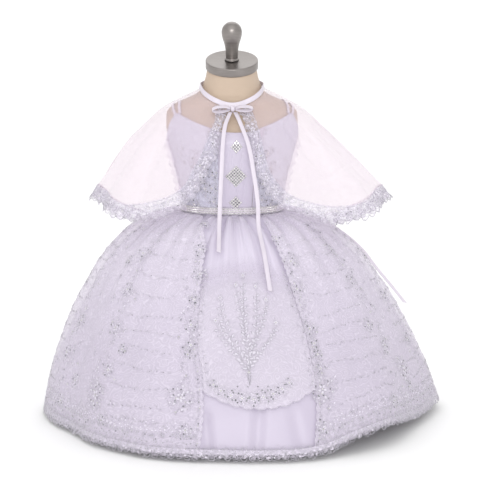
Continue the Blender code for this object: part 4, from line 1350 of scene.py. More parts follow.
# ---------------------------------------------------------------- lace
def lace_reach(cells):
    """How far across its width a lace edging reaches, along its cells."""
    lobes = scallops(2 * cells)
    return 0.76 + 0.15 * lobes * (1 + 0.35 * np.sin(5.1 * cells)) + 0.05 * np.sin(2.3 * cells)


def lace_strip(name, cells, surface, reach, replaces, finish, cell):
    """The lace's ground, cut to reach(cells). surface(cells, across) has its sewn edge at across 0."""
    along = steps(0, cells, cells * 12)[None, :]
    across = steps(0, 1, 14)[:, None] * reach(along)
    work = Work()
    work.grid(surface(along, across))
    marks = np.stack(np.broadcast_arrays(along * cell[0], across * cell[1]), -1).reshape(-1, 2)
    return work.piece(name, finish, "lace", marks=marks, replaces=replaces)


def hem_surface(index):
    start, end = panel_span(index)

    def surface(cells, across, out=0.0):
        angle = start + (end - start) * cells / LACE_CELLS_A_PANEL
        return sheer_skirt(angle, LACE_START + (LACE_END - LACE_START) * across, out + HEM_LACE_LIFT)

    return surface


def hem_ground_reach(cells):
    """The hem lace's ground, which ends a little above the lowest loops."""
    return 0.60 + 0.16 * np.abs(np.sin(2 * np.pi * cells)) ** 0.75 + 0.05 * np.sin(7.3 * cells)


def make_hem_lace():
    for index, name in enumerate(PANEL_NAMES):
        strip = lace_strip(
            f"hem_lace_ground_{name}", LACE_CELLS_A_PANEL, hem_surface(index), hem_ground_reach,
            ["hem_lace_" + name], HEM_GROUND, cell=(0.025, 0.0205),
        )


# ---------------------------------------------------------------- the capelet
def cape_border(edge, side, station, out=0.0):
    """Points on the inner or outer edge of the capelet's lace."""
    angle = CAPE_BORDER.read(f"{edge}_{'left' if side > 0 else 'right'}", station)
    share = CAPE_BORDER.read(edge + "_share", station)
    return cape_cloth(side * np.minimum(angle, 180 - CAPE_SEAM), share, out)


def even_stations(curve, start, end, count, samples=1200):
    """count + 1 stations along curve(stations), evenly apart in length."""
    stations = steps(start, end, samples)
    run = np.concatenate([[0.0], np.cumsum(np.linalg.norm(np.diff(curve(stations), axis=0), axis=-1))])
    return np.interp(steps(0, run[-1], count), run, stations)


def cape_edging(side):
    """The capelet's lace on one side as a surface of cells along it, 0 to 1 across it, and how far out."""
    stations = even_stations(
        lambda s: (cape_border("inner", side, s) + cape_border("outer", side, s)) / 2,
        0.05, 20, CAPE_LACE_CELLS * 4,
    )
    sewn = 0.035

    def surface(cells, across, out=0.0):
        along = cells if side > 0 else CAPE_LACE_CELLS - cells
        station = np.interp(along, steps(0, CAPE_LACE_CELLS, CAPE_LACE_CELLS * 4), stations)
        share = sewn + (1 - sewn) * across
        inner = cape_border("inner", side, station, out + CAPE_LACE_LIFT)
        outer = cape_border("outer", side, station, out + CAPE_LACE_LIFT)
        return inner + (outer - inner) * np.expand_dims(share, -1)

    return surface


def make_cape():
    """Two sheer halves with a centre back seam, each edged with lace, and the ribbon round the neck."""
    for name, side in SIDES:
        station = np.interp(steps(0, 100, 100), [0, 20, 74, 100], [0, 1.6, 6.6, 9])[:, None]
        share = CAPE_BORDER.read("inner_share", station)
        seam_turn = np.degrees(5 * SEAM_GAP / CAPE.read("half_width", share))
        tuck = np.degrees(CAPE_TUCK / CAPE.read("half_width", share))
        edge = np.maximum(CAPE_BORDER.read("inner_" + name, station) + seam_turn - tuck, 0.2)
        columns = side * (edge + (180 - CAPE_SEAM - edge) * steps(0, 1, 116)[None, :])
        points = cape_cloth(columns, share + CAPE_TUCK / CAPE_LENGTH * np.minimum(station, 1))
        half = cloth_piece(
            f"capelet_{name}", facing_out(points, side), CAPE_SHEER, "organza", replaces=["cape_" + name],
        )
        strip = lace_strip(
            f"capelet_lace_ground_{name}", CAPE_LACE_CELLS, cape_edging(side), lace_reach,
            ["cape_lace_" + name], LACE_GROUND, cell=(0.0275, 0.031),
        )

    rows = steps(1, 0, 8)[:, None]
    angle = steps(-179.6, 179.6, 180)[None, :]
    edge = cape_hang(angle, 0.0)
    shrink = 1 - 0.03 * rows[..., None] * np.array((1, 1, 0))
    raised = edge * shrink + np.array((0, 0, 1)) * (SEAM_GAP + 0.0082 * rows[..., None])
    gathered = 0.0004 * np.sin(angle * 1.9)
    band = clear_of_form(raised, CAPE_CLEAR - 0.0010 + gathered)
    cloth_piece(
        "neck_ribbon_band", band, RIBBON, "ribbon",
        replaces=["neck_ribbon"], thickness=RIBBON_THICK, offset=-1.0,
    )


def make_bodice_lace():
    """The scalloped lace that stands at each side seam of the bodice."""
    for name, sign in SIDES:
        down = steps(0, 1, 112)[:, None]
        across = steps(0, 1, 8)[None, :] if sign > 0 else steps(1, 0, 8)[None, :]
        wave = 0.5 - 0.5 * np.cos(2 * np.pi * 7 * down)
        lobes = scallops(14 * down)
        stand = 3 * SEAM_GAP + 0.001 + across * (0.0036 + 0.0038 * wave)
        angle = sign * (74 + (10 + 1.4 * lobes) * across)
        frill = cloth_piece(
            f"bodice_lace_{name}_ruffle", bodice_cloth(angle, 0.04 + 0.83 * down, stand),
            LACE_GROUND, "lace", replaces=["bodice_lace_" + name],
        )


# ---------------------------------------------------------------- embroidery
scatter = np.random.default_rng(7)


def evenly(count):
    """Turns in degrees, evenly round a circle."""
    return 360 / count * np.arange(count)


def uneven(values, amount):
    """The values, each moved by up to this much."""
    return values + scatter.uniform(-amount, amount, np.shape(values))


def about(value, amount, count):
    """This many values near this one."""
    return uneven(np.full(count, float(value)), amount)


def any_turn(count):
    return scatter.uniform(0, 360, count)


def fanned(spots, turns, out=0.0, size=1.0):
    """A copy of every spot at each turn, headed outwards. out and size are in the spot's own size."""
    turns, out, size = [np.asarray(a, dtype=float).reshape(-1, 1) for a in (turns, out, size)]
    rows = np.repeat(np.asarray(spots, dtype=float)[None], len(turns), axis=0)
    rows[..., 5] += turns
    heading = np.radians(rows[..., 5])
    rows[..., 2] -= np.sin(heading) * out * rows[..., 4]
    rows[..., 3] += np.cos(heading) * out * rows[..., 4]
    rows[..., 4] *= size
    return rows.reshape(-1, 6)


def spots_at(across, down, size, right=0.0, up=0.0, turn=0.0):
    """Rows of spots from arrays or single values."""
    columns = np.broadcast_arrays(across, down, right, up, size, turn)
    return np.stack([np.asarray(c, dtype=float).ravel() for c in columns], axis=-1)


def motif_line(points, count):
    return smooth_path([(x, y, 0) for x, y in points], count)


# Lines of the embroidery, in units of a motif's size: rightwards and away from its middle.
CURL = motif_line([(0, 0.30), (0.06, 0.60), (0.24, 0.90), (0.46, 0.86), (0.47, 0.68), (0.34, 0.66)], 7)
SCROLL = motif_line(
    [(0, 0), (0.28, 0.18), (0.16, 0.50), (-0.18, 0.58), (-0.26, 0.88), (0, 1.04), (0.12, 0.86)], 8,
)
PETAL_LINE = motif_line(
    [(0, 0.06), (0.22, 0.34), (0.22, 0.72), (0, 1), (-0.22, 0.72), (-0.22, 0.34), (0, 0.06)], 7,
)
RING = motif_line(
    [(0, 0), (0.45, 0.22), (0.5, 0.6), (0.22, 0.97), (-0.24, 0.96), (-0.5, 0.58), (-0.43, 0.2), (0, 0)], 7,
)


class Embroidery:
    """What is sewn on one cloth: thread petals and leaves, cords, clear stones, and stones painted dark as
    painted reflection and painted shade.
    """

    def __init__(self, cloth):
        self.cloth = cloth
        self.petals, self.cords, self.edges = Work(), Work(), Work()
        self.gems, self.dark_gems, self.small_beads = Work(), Work(), Work()

    def leaves(self, spots, turns=0.0, out=0.0, size=1.0, shape=LEAF, width=0.5, height=0.12):
        spread(self.petals, self.cloth, fanned(spots, turns, out, size), shape, 0.0003, height, width)

    def lines(self, spots, line, turns=0.0, out=0.0, size=1.0, flip=1, radius=FINE_THREAD, edge=False):
        rows = fanned(spots, turns, out, size)
        across, down, right, up, size, heading = [rows[:, i : i + 1] for i in range(6)]
        cos, sin = np.cos(np.radians(heading)), np.sin(np.radians(heading))
        x, y = flip * line[:, 0] * size, line[:, 1] * size
        cord_on(
            self.edges if edge else self.cords, self.cloth, across, down,
            right + cos * x - sin * y, up + sin * x + cos * y, radius, radius,
        )

    def stones(self, spots, turns=0.0, out=0.0, size=STONE, dark=False):
        rows = fanned(spots, turns, out)
        rows[:, 4] = size
        spread(self.dark_gems if dark else self.gems, self.cloth, rows, GEM, 0.0005)

    def beads(self, spots, turns=0.0, out=0.0, size=BEAD):
        rows = fanned(spots, turns, out)
        rows[:, 4] = size
        spread(self.small_beads, self.cloth, rows, PEARL, 0.0003)

    def cord(self, across, down, right=0.0, up=0.0, radius=THREAD, edge=False):
        work = self.edges if edge else self.cords
        cord_on(work, self.cloth, across, down, right, up, radius, radius)

    def flower(self, spots, petals=5, size=0.5):
        """Outlined petals with a stitched tongue in each."""
        self.lines(spots, PETAL_LINE, evenly(petals), 0.06, size)
        self.leaves(spots, evenly(petals), 0.12, size * 0.66, PETAL, 0.60)

    def spray(self, spots, rich=False):
        """A stoned flower with loose leaves, scrolls and tendrils round it; a rich one has more of all."""
        near = (50, 122, 186, 236, 340)
        self.flower(spots, 5, 0.44)
        self.stones(spots, size=STONE * 1.2)
        self.lines(spots, SCROLL, (25, 150, 262), 0.34, (0.66, 0.74, 0.60))
        self.lines(spots, CURL, (78, 205, 318), 0.10, (0.95, 1.05, 0.88), flip=-1)
        self.lines(spots, PETAL_LINE, near, 0.52, (0.42, 0.36, 0.46, 0.38, 0.44))
        self.leaves(spots, near, 0.56, 0.32, width=0.42)
        self.stones(spots, (100, 222, 352), (0.62, 0.50, 0.80), STONE * 1.05, dark=True)
        self.beads(spots, (12, 64, 140, 170, 282, 305), (0.86, 0.95, 0.80, 1.05, 0.92, 0.74))
        if rich:
            between, far = (8, 62, 128, 196, 246, 322), (36, 92, 164, 218, 288, 350)
            self.lines(spots, SCROLL, between, 0.62, (0.50, 0.62, 0.46, 0.58, 0.52, 0.60))
            self.lines(spots, PETAL_LINE, far, 0.78, (0.34, 0.30, 0.36, 0.30, 0.38, 0.32))
            self.leaves(spots, far, 0.82, 0.24)
            self.lines(spots, RING, (20, 110, 180, 270, 335), 0.96, 0.20)
            self.stones(spots, (44, 146, 176, 300), (0.34, 0.88, 0.60, 0.70), STONE * 1.1, dark=True)
            self.stones(spots, (200, 330), (0.36, 0.52), STONE)
            self.beads(spots, (30, 84, 118, 210, 258, 312), (1.16, 1.06, 1.20, 1.10, 1.22, 1.04))

    def pieces(self, prefix):
        """Makes the pieces of this embroidery that have anything in them."""
        for work, name, finish, slot, smooth in (
            (self.petals, "petals", THREADS, "lace", True),
            (self.cords, "cords", CORDING, "lace", True),
            (self.edges, "edge_cords", SILVER, "lace", True),
            (self.gems, "stones", GLASS, "stone_trim", False),
            # The stones painted dark stand for dark reflections and for the shade between stones.
            (self.dark_gems, "stones_painted_dark", PAINTED_DARK_GLASS, "stone_trim", False),
            (self.small_beads, "beads", BEADS, "stone_trim", True),
        ):
            if work.points:
                work.piece(f"{prefix}_{name}", finish, slot, smooth=smooth)


# The sheer layer's sprays: angle, share, size, and 1 for a rich one.
SPRAYS = np.array(
    [
        (-19, 0.116, 0.010, 0), (-16, 0.244, 0.011, 0), (-13.6, 0.352, 0.014, 0),
        (-14.6, 0.448, 0.009, 0), (-14.8, 0.536, 0.012, 0), (-14.2, 0.604, 0.010, 0),
        (-15, 0.636, 0.008, 0), (-16.5, 0.784, 0.019, 1), (-15, 0.892, 0.012, 0), (-48, 0.284, 0.012, 0),
        (-53, 0.332, 0.011, 0), (-45.5, 0.436, 0.013, 0), (-44.5, 0.576, 0.014, 0),
        (-39, 0.644, 0.009, 0), (-43, 0.724, 0.012, 0), (-47, 0.820, 0.020, 1), (-43, 0.900, 0.010, 0),
        (-68, 0.592, 0.013, 0), (-71.5, 0.720, 0.013, 0), (-61.5, 0.804, 0.013, 0),
        (-69, 0.896, 0.011, 0), (25.5, 0.200, 0.010, 0), (27.5, 0.308, 0.013, 0), (26, 0.416, 0.009, 0),
        (26.5, 0.560, 0.011, 0), (26.8, 0.612, 0.009, 0), (27.2, 0.650, 0.008, 0), (27, 0.700, 0.010, 0),
        (26, 0.772, 0.019, 1), (24, 0.904, 0.013, 0), (56.5, 0.280, 0.012, 0), (56, 0.416, 0.012, 0),
        (52.5, 0.592, 0.013, 0), (59, 0.680, 0.014, 0), (67.5, 0.796, 0.020, 1), (68, 0.862, 0.011, 0),
        (52.5, 0.892, 0.012, 0), (80, 0.520, 0.012, 0), (82, 0.700, 0.012, 0), (-84, 0.460, 0.012, 0),
        (-88, 0.640, 0.013, 0), (-88, 0.840, 0.018, 1), (92, 0.360, 0.012, 0), (94, 0.850, 0.018, 1),
        (108, 0.560, 0.014, 0), (112, 0.720, 0.012, 0), (120, 0.420, 0.012, 0), (122, 0.800, 0.018, 1),
        (136, 0.640, 0.013, 0), (142, 0.300, 0.012, 0), (148, 0.790, 0.019, 1), (158, 0.520, 0.013, 0),
        (166, 0.680, 0.012, 0), (172, 0.840, 0.018, 1), (176, 0.380, 0.012, 0), (-108, 0.580, 0.014, 0),
        (-104, 0.340, 0.012, 0), (-112, 0.760, 0.018, 1), (-126, 0.460, 0.013, 0),
        (-130, 0.670, 0.012, 0), (-140, 0.810, 0.019, 1), (-146, 0.340, 0.012, 0),
        (-152, 0.560, 0.013, 0), (-164, 0.710, 0.013, 0), (-162, 0.850, 0.018, 1),
        (-172, 0.480, 0.013, 0),
    ]
)
# The rows' shares of the way down, the fields of angles that they fill, and the angles of the spray columns.
ROW_SHARES = (0.225, 0.292, 0.372, 0.444, 0.520, 0.576, 0.632, 0.696, 0.764, 0.832, 0.880)
ROW_FIELDS = (
    (-40, -20), (32, 55), (-103, -76), (74, 102), (-148, -120), (124, 150), (-178, -166), (164, 178),
)
SPRAY_COLUMNS = (-16.5, -45.5, -70.0, 28.0, 59.0, 86.0, 112.0, 138.0, 160.0, -90.0, -112.0, -136.0, -160.0)


def sew_sprays(sewn):
    spots = spots_at(*SPRAYS.T[:3], turn=37.0 * np.arange(len(SPRAYS)))
    rich = SPRAYS[:, 3] > 0
    sewn.spray(spots[~rich])
    sewn.spray(spots[rich], rich=True)


def sew_rows(sewn):
    """Loose rows of small stitched scrolls and beads, in the fields between the columns of sprays."""
    for number, share in enumerate(ROW_SHARES):
        pitch = math.degrees(0.0088 / float(SKIRT.read("half_depth", share)))
        for start, end in ROW_FIELDS:
            angle = uneven(np.arange(start, end, pitch), pitch * 0.24)
            count = len(angle)
            sway = 0.0030 * np.sin(angle * 0.17 + 1.3 * number) + about(0, 0.0010, count)
            spots = spots_at(
                angle, share, about(0.0054, 0.0014, count), up=sway, turn=about(90, 32, count),
            )
            sewn.lines(spots, SCROLL, 0, 0, 1.0, flip=(-1) ** number, radius=0.00026, edge=True)
            sewn.beads(spots, 0, 0.5, BEAD * 0.85)
            sewn.stones(spots[number % 3 :: 3], size=STONE * 0.55, dark=True)


def sew_columns(sewn):
    """Loose small motifs that fill in the columns between their sprays."""
    for middle in SPRAY_COLUMNS:
        beside_opening = abs(middle) < 30
        top, count, breadth = (0.25, 42, 0.42) if beside_opening else (0.13, 70, 1.0)
        share = uneven(np.linspace(top, 0.86, count), 0.012)
        lean = breadth * scatter.normal(0, 3.4, count)
        size = scatter.uniform(0.0026, 0.0050, count)
        spots = spots_at(middle + lean, share, size, turn=any_turn(count))
        sewn.lines(spots[::3], SCROLL, (0, 175), 0.0, 1.5)
        sewn.lines(spots[1::3], PETAL_LINE, (0, 70, 145, 215, 290), 0.1, 0.8)
        sewn.lines(spots[2::3], CURL, (0, 130, 245), 0.0, 1.5)
        sewn.leaves(spots[::3], (60, 230), 0.5, 1.0)
        sewn.beads(spots[::2], (30, 190), 1.3)
        sewn.stones(spots[1::6], size=STONE * 0.9, dark=True)
        sewn.stones(spots[4::9], size=STONE)


def clear_of_opening(spots):
    """The spots that aren't between the sheer layer's front edges."""
    angle, share = wrapped(spots[:, 0]), spots[:, 1]
    inside = (angle > OPENING.read("left", share) - 1.2) & (angle < OPENING.read("right", share) + 1.2)
    return spots[~inside]


def border_row(count, share, size, turn, drift=0.004):
    """Spots all round the skirt at about this share, none of them quite in line."""
    angle = uneven(np.linspace(-180, 180, count, endpoint=False), 150 / count)
    turns = about(turn, 35, count)
    down = about(share, drift, count)
    return clear_of_opening(spots_at(angle, down, about(size, size * 0.2, count), turn=turns))


def sew_border(sewn):
    """The dense border above the hem: rings, florets, curls and leaves that thin out upwards."""
    rings = border_row(250, 0.938, 0.0042, 0)
    sewn.lines(rings, RING, 0, -0.5, 1.0)
    sewn.beads(rings)
    florets = border_row(210, 0.916, 0.0046, 20, 0.006)
    sewn.lines(florets, PETAL_LINE, evenly(5), 0.05, 0.9)
    sewn.beads(florets, size=BEAD * 1.1)
    curls = border_row(200, 0.897, 0.0064, 0, 0.006)
    sewn.lines(curls, CURL, (15, 200), 0.0, 1.0)
    sewn.leaves(curls, (100, 290), 0.35, 0.62)
    sewn.beads(curls, (60, 150), 0.9)
    high = border_row(120, 0.872, 0.0058, 180, 0.008)
    sewn.lines(high, SCROLL, (0, 140), 0.1, 0.9)
    sewn.leaves(high, 60, 0.4, 0.7)
    sewn.stones(border_row(90, 0.922, STONE, 0, 0.012), size=STONE * 0.85, dark=True)
    sewn.beads(border_row(300, 0.905, BEAD, 0, 0.035))


def sew_opening_edges(sewn):
    """A fine cord along each scalloped front edge, with small loops, beads and stones inside it."""
    for side in (1, -1):
        share = np.linspace(0.02, CLOTH_END, 340)
        sewn.cord(opening_edge(side, share)[None, :], share[None, :], radius=FINE_THREAD)
        count = 96
        at = uneven(0.10 + 0.84 * np.linspace(0.0, 1.0, count) ** 0.72, 0.003)
        spots = spots_at(
            opening_edge(side, at, reach=0.0), at, about(0.0038, 0.001, count),
            right=side * about(0.0034, 0.0014, count), turn=about(-side * 90, 60, count),
        )
        sewn.lines(spots[::2], PETAL_LINE, (-40, 40), 0.0, 1.0)
        sewn.lines(spots[1::2], CURL, 0, 0.0, 1.5, flip=side)
        sewn.beads(spots[::3])
        sewn.stones(spots[4::9], size=STONE * 0.9)
        sewn.stones(spots[7::11], size=STONE, dark=True)


def sew_skirt():
    """The sheer layer's embroidery."""
    for prefix, sew in (("rows", sew_rows), ("columns", sew_columns), ("border", sew_border)):
        sewn = Embroidery(SHEER_SKIRT)
        sew(sewn)
        sewn.pieces("skirt_" + prefix)
    sprays = Embroidery(SHEER_SKIRT)
    sew_sprays(sprays)
    sew_opening_edges(sprays)
    sprays.pieces("skirt_sprays")


def sew_apron():
    """The apron: a corded edge, a swag of flowers at the foot, and a bunch of stems in the middle."""
    sewn = Embroidery(APRON)
    round_it = steps(-1, 1, 108)
    angle, share = apron_place(round_it, 1.0)
    sewn.cord(angle[None, :], (share + apron_foot(round_it))[None, :], radius=EDGE_THREAD)
    for edge in (-1.0, 1.0):
        angle, share = apron_place(edge, steps(0, 1, 80))
        sewn.cord(angle[None, :], share[None, :], radius=EDGE_THREAD)
        down = uneven(steps(0.06, 0.94, 40), 0.010)
        count = len(down)
        angle, share = apron_place(about(edge * 0.93, 0.04, count), down)
        spots = spots_at(angle, share, about(0.0034, 0.0008, count), turn=about(edge * 90, 50, count))
        sewn.lines(spots[::2], PETAL_LINE, (-35, 35), 0.0, 1.0)
        sewn.lines(spots[1::2], CURL, 0, 0.0, 1.4, flip=edge)
        sewn.beads(spots[::3])
        sewn.stones(spots[5::9], size=STONE * 0.8, dark=True)
    swag = np.array(
        [
            (-6.8, 0.736, 0.008), (-4.6, 0.757, 0.010), (-1.6, 0.772, 0.011), (1.6, 0.781, 0.012),
            (4.8, 0.785, 0.012), (7.8, 0.778, 0.012), (10.8, 0.768, 0.011), (13.6, 0.752, 0.010),
            (16.0, 0.732, 0.008),
        ]
    )
    spots = spots_at(*swag.T, turn=47.0 * np.arange(len(swag)))
    sewn.spray(spots)
    sewn.stones(spots[2:7], (20, 130, 250), (0.45, 0.85, 0.7), STONE * 1.15, dark=True)
    sewn.stones(spots_at(steps(0.5, 9.5, 3), 0.742, STONE), size=STONE, dark=True)
    sew_bunch(sewn)
    sewn.pieces("apron")


# The bunch's stems: how far each leans to the side at its head, its height, and how it curves.
BUNCH = (
    (-0.054, 0.092, 0.008), (-0.040, 0.128, -0.006), (-0.016, 0.150, 0.006), (0.004, 0.166, -0.004),
    (0.022, 0.146, 0.005), (0.043, 0.124, -0.005), (0.055, 0.088, -0.008),
)
BUNCH_ANGLE, BUNCH_FOOT = 4.2, 0.706
STEM_BELOW = 0.014


def sew_bunch(sewn):
    """Seven leafy stems that fan out from a tied foot, each with a flower at its head."""
    foot = (BUNCH_ANGLE, BUNCH_FOOT)
    for number, (lean, height, curve) in enumerate(BUNCH):
        rise = steps(0, 1, 30)
        right = lean * rise**1.25 + curve * np.sin(2.6 * rise) - 0.10 * lean * np.sin(6 * rise)
        up = height * rise - STEM_BELOW
        sewn.cord(*foot, right[None, :], up[None, :], radius=0.00042, edge=True)
        at = steps(0.30, 0.90, 8)
        x = np.interp(at, rise, right)
        slope = np.degrees(np.arctan2(np.gradient(x, at), height))
        for sign in (1, -1):
            spots = spots_at(
                *foot, uneven(0.0092 - 0.0026 * at, 0.0009), right=x,
                up=height * at - STEM_BELOW + sign * 0.0024, turn=-slope - sign * about(52, 12, len(at)),
            )
            sewn.leaves(spots, 0, 0.10, 0.86, LEAF, 0.34, 0.06)
            sewn.lines(spots, PETAL_LINE, 0, 0.0, 1.05, radius=0.00038, edge=True)
            sewn.beads(spots[number % 2 :: 3], 20 * sign, 1.3)
        head = spots_at(*foot, 0.0085, right=right[-1], up=height - 0.010, turn=24.0 * number)
        sewn.flower(head, 6, 0.62)
        sewn.stones(head, size=STONE)
        sewn.lines(head, CURL, (100, 240), 0.2, 0.9)
        tendril = spots_at(*foot, 0.0060, right=right[18] + 0.004, up=height * 0.60, turn=-30.0 * number)
        sewn.lines(tendril, SCROLL, (60, 200, 320), 0.3, 0.9, radius=0.00030, edge=True)
    tie = spots_at(*foot, 0.0085, up=0.006)
    sewn.lines(tie, PETAL_LINE, (70, -70, 150, -150), 0.0, 1.2)
    sewn.stones(tie, (0, 120, 240), 0.14, STONE * 0.8)


# ---------------------------------------------------------------- embroidered lace
def lobe_sizes(lobes, seed, least=0.72):
    """A size for each lobe along a lace, so that no two neighbours match."""
    return np.random.default_rng(seed).uniform(least, 1.0, lobes + 1)


# The hem lace's bands of small motifs: how far across it each lies, how far they stray, number and size.
HEM_MOTIFS = ((-0.02, 0.07, 84, 0.0042), (0.16, 0.09, 92, 0.0041), (0.34, 0.08, 78, 0.0042))


def sew_hem_lace():
    """Open corded loops hanging from the hem, with rings, leaves and small flowers at their roots."""
    for index, name in enumerate(PANEL_NAMES):
        sewn = Embroidery(Cloth(hem_surface(index), LACE_STEP))
        lobes = 2 * LACE_CELLS_A_PANEL
        along = steps(0, LACE_CELLS_A_PANEL, lobes * 6)[None, :]
        arch = np.abs(np.sin(2 * np.pi * along))
        size = lobe_sizes(lobes, index, 0.55)[np.minimum((2 * along).astype(int), lobes)]
        other = lobe_sizes(lobes, index + 20, 0.5)[np.minimum((2 * along + 0.5).astype(int), lobes)]
        shifted = np.abs(np.cos(2 * np.pi * along))
        wander = 0.03 * np.sin(11.7 * along) + 0.02 * np.sin(29.0 * along + index)
        sewn.cord(along, 0.52 + 0.46 * size * arch**0.60 + wander, radius=0.00056, edge=True)
        sewn.cord(along, 0.34 + 0.40 * other * shifted**0.8 - wander, radius=0.00038)
        sewn.cord(along, 0.10 + 0.30 * size * arch**0.8 + wander, radius=0.00034)
        cells = uneven(np.arange(0.25, LACE_CELLS_A_PANEL, 0.5), 0.10)
        loops = spots_at(
            cells, about(0.40, 0.16, lobes), about(0.0056, 0.0014, lobes), turn=about(180, 60, lobes),
        )
        sewn.lines(loops[::2], PETAL_LINE, evenly(5), 0.0, 0.85)
        sewn.lines(loops[1::2], RING, (0, 150), 0.0, 0.8)
        sewn.leaves(loops[1::2], (70, 290), 0.4, 0.8)
        sewn.beads(loops)
        notches = lobes - 1
        roots = spots_at(
            uneven(cells[:-1] + 0.25, 0.06), about(0.62, 0.12, notches), about(0.0050, 0.0012, notches),
            turn=about(180, 30, notches),
        )
        sewn.lines(roots, RING, 0, -0.2, 0.9)
        sewn.lines(roots[::3], CURL, (-20,), 0.0, 1.4)
        for middle, drift, count, size in HEM_MOTIFS:
            motifs = spots_at(
                uneven(np.linspace(0.1, LACE_CELLS_A_PANEL - 0.1, count), 0.06),
                about(middle, drift, count), about(size, 0.0012, count), turn=any_turn(count),
            )
            sewn.lines(motifs[::3], RING, 0, -0.4, 1.0, radius=0.00030)
            sewn.lines(motifs[1::3], PETAL_LINE, evenly(4), 0.0, 0.85, radius=0.00028)
            sewn.lines(motifs[2::3], CURL, (0, 160), 0.0, 1.3, radius=0.00028)
            sewn.beads(motifs[::2], size=BEAD * 0.9)
        sewn.stones(roots[1::3], size=STONE * 0.8, dark=True)
        sewn.pieces(f"hem_lace_{name}")


def sew_cape_lace():
    """The capelet's edging: uneven flowers, rings and scrolls, corded scallops, picots and a few stones."""
    for name, side in SIDES:
        sewn = Embroidery(Cloth(cape_edging(side), LACE_STEP))
        count = CAPE_LACE_CELLS
        along = steps(0, count, count * 12)[None, :]
        sewn.cord(along, lace_reach(along) - 0.03, radius=0.00066, edge=True)
        sewn.cord(along, lace_reach(along) - 0.17 + 0.03 * np.sin(2 * np.pi * 5.3 * along), radius=0.00042)
        sewn.cord(along, 0.05 + 0.06 * np.abs(np.sin(2 * np.pi * 1.5 * along)), radius=0.00045)
        cells = np.arange(0.25, count, 0.5)
        picots = spots_at(cells, lace_reach(cells) - 0.05, 0.0046, turn=180)
        sewn.lines(picots[::2], RING, 0, 0.0, 0.9, radius=0.0004)
        flowers = spots_at(
            uneven(np.arange(0.5, count, 1.0), 0.12), about(0.46, 0.10, count),
            scatter.uniform(0.0085, 0.0125, count), turn=any_turn(count),
        )
        sewn.flower(flowers, 5, 0.56)
        sewn.beads(flowers, size=BEAD * 1.2)
        sewn.lines(flowers, SCROLL, (40, 165, 280), 0.42, (0.6, 0.7, 0.55))
        sewn.lines(flowers, RING, (100, 220, 340), 0.66, 0.28)
        sewn.leaves(flowers, (15, 130, 250), 0.62, 0.34)
        joins = spots_at(
            uneven(np.linspace(0.2, count - 1.0, count), 0.06), about(0.42, 0.16, count),
            scatter.uniform(0.0060, 0.0095, count), turn=any_turn(count),
        )
        sewn.lines(joins, PETAL_LINE, (0, 80, 170, 250), 0.05, (0.9, 0.7, 0.8, 0.65))
        sewn.leaves(joins, (0, 170), 0.15, 0.6)
        sewn.lines(joins, CURL, (40, 210), 0.1, 1.1)
        cells = uneven(np.arange(0.4, count - 0.3, 0.45), 0.1)
        small = spots_at(cells, scatter.uniform(0.14, 0.72, len(cells)), 0.0042, turn=any_turn(len(cells)))
        sewn.lines(small[::2], RING, 0, -0.5, 1.0)
        sewn.lines(small[1::2], PETAL_LINE, evenly(4), 0.0, 0.9)
        sewn.beads(small)
        sewn.beads(small, (90, 250), 1.2)
        sewn.stones(small[1::5], 60, 0.8, STONE * 0.95, dark=True)
        sewn.stones(joins[::3], size=STONE * 1.1)
        sewn.pieces(f"capelet_lace_{name}")


# ---------------------------------------------------------------- the bodice's trims
def set_diamond(sewn, across, down, width, height, rows):
    """Clear stones set close in a diamond, with dark beads in the gaps as painted shade between the stones.
    """
    for dark in (False, True):
        spots = []
        for row in range(-rows, rows + 1):
            reach = rows - abs(row) - (1 if dark else 0)
            for column in range(-reach, reach + 1, 2):
                right, up = column / rows * width / 2, row / rows * height / 2
                spots.append((across, down, right, up, 1.0, 11.0 * row))
        # The dark beads paint the shade in the gaps between the stones.
        sewn.stones(spots, size=width / rows * (0.17 if dark else 0.31), dark=dark)


def sew_bodice():
    """Three diamonds of stones down the front, and flowers, leaves and stones over the sides."""
    sewn = Embroidery(BODICE)
    for diamond in ((0.15, 0.0150, 0.0160, 3), (0.51, 0.0300, 0.0310, 6), (0.84, 0.0165, 0.0170, 3)):
        set_diamond(sewn, 0.6, *diamond)
    sewn.pieces("bodice_diamonds")
    sewn = Embroidery(BODICE_OVERLAY)
    clusters = np.array(
        [
            (-27, 0.34, 0.011), (-40, 0.45, 0.013), (-37, 0.58, 0.012), (-46, 0.70, 0.012),
            (50, 0.73, 0.014), (-31, 0.46, 0.010), (34, 0.57, 0.010), (-24, 0.84, 0.011),
            (31, 0.83, 0.012), (31, 0.30, 0.011), (38, 0.48, 0.012), (-33, 0.70, 0.011),
            (39, 0.72, 0.011), (-66, 0.82, 0.012), (68, 0.80, 0.012), (-23, 0.52, 0.009),
            (-25, 0.68, 0.010), (30, 0.64, 0.010), (44, 0.90, 0.011), (-50, 0.90, 0.011),
        ]
    )
    sewn.spray(spots_at(*clusters.T, turn=33.0 * np.arange(len(clusters))))
    count = 84
    side = np.where(np.arange(count) % 2 == 0, 1.0, -1.0)
    loose = spots_at(
        side * scatter.uniform(25, 80, count), 0.97 - 0.70 * scatter.uniform(0, 1, count) ** 1.6,
        scatter.uniform(0.0026, 0.0046, count), turn=any_turn(count),
    )
    sewn.lines(loose[::3], SCROLL, (0, 170), 0.0, 1.4)
    sewn.lines(loose[1::3], PETAL_LINE, (0, 75, 150, 220, 290), 0.05, 0.85)
    sewn.lines(loose[2::3], CURL, (0, 140), 0.0, 1.4)
    sewn.beads(loose)
    sewn.stones(loose[::12], 40, 0.9, STONE * 0.8, dark=True)
    sewn.pieces("bodice_sprays")


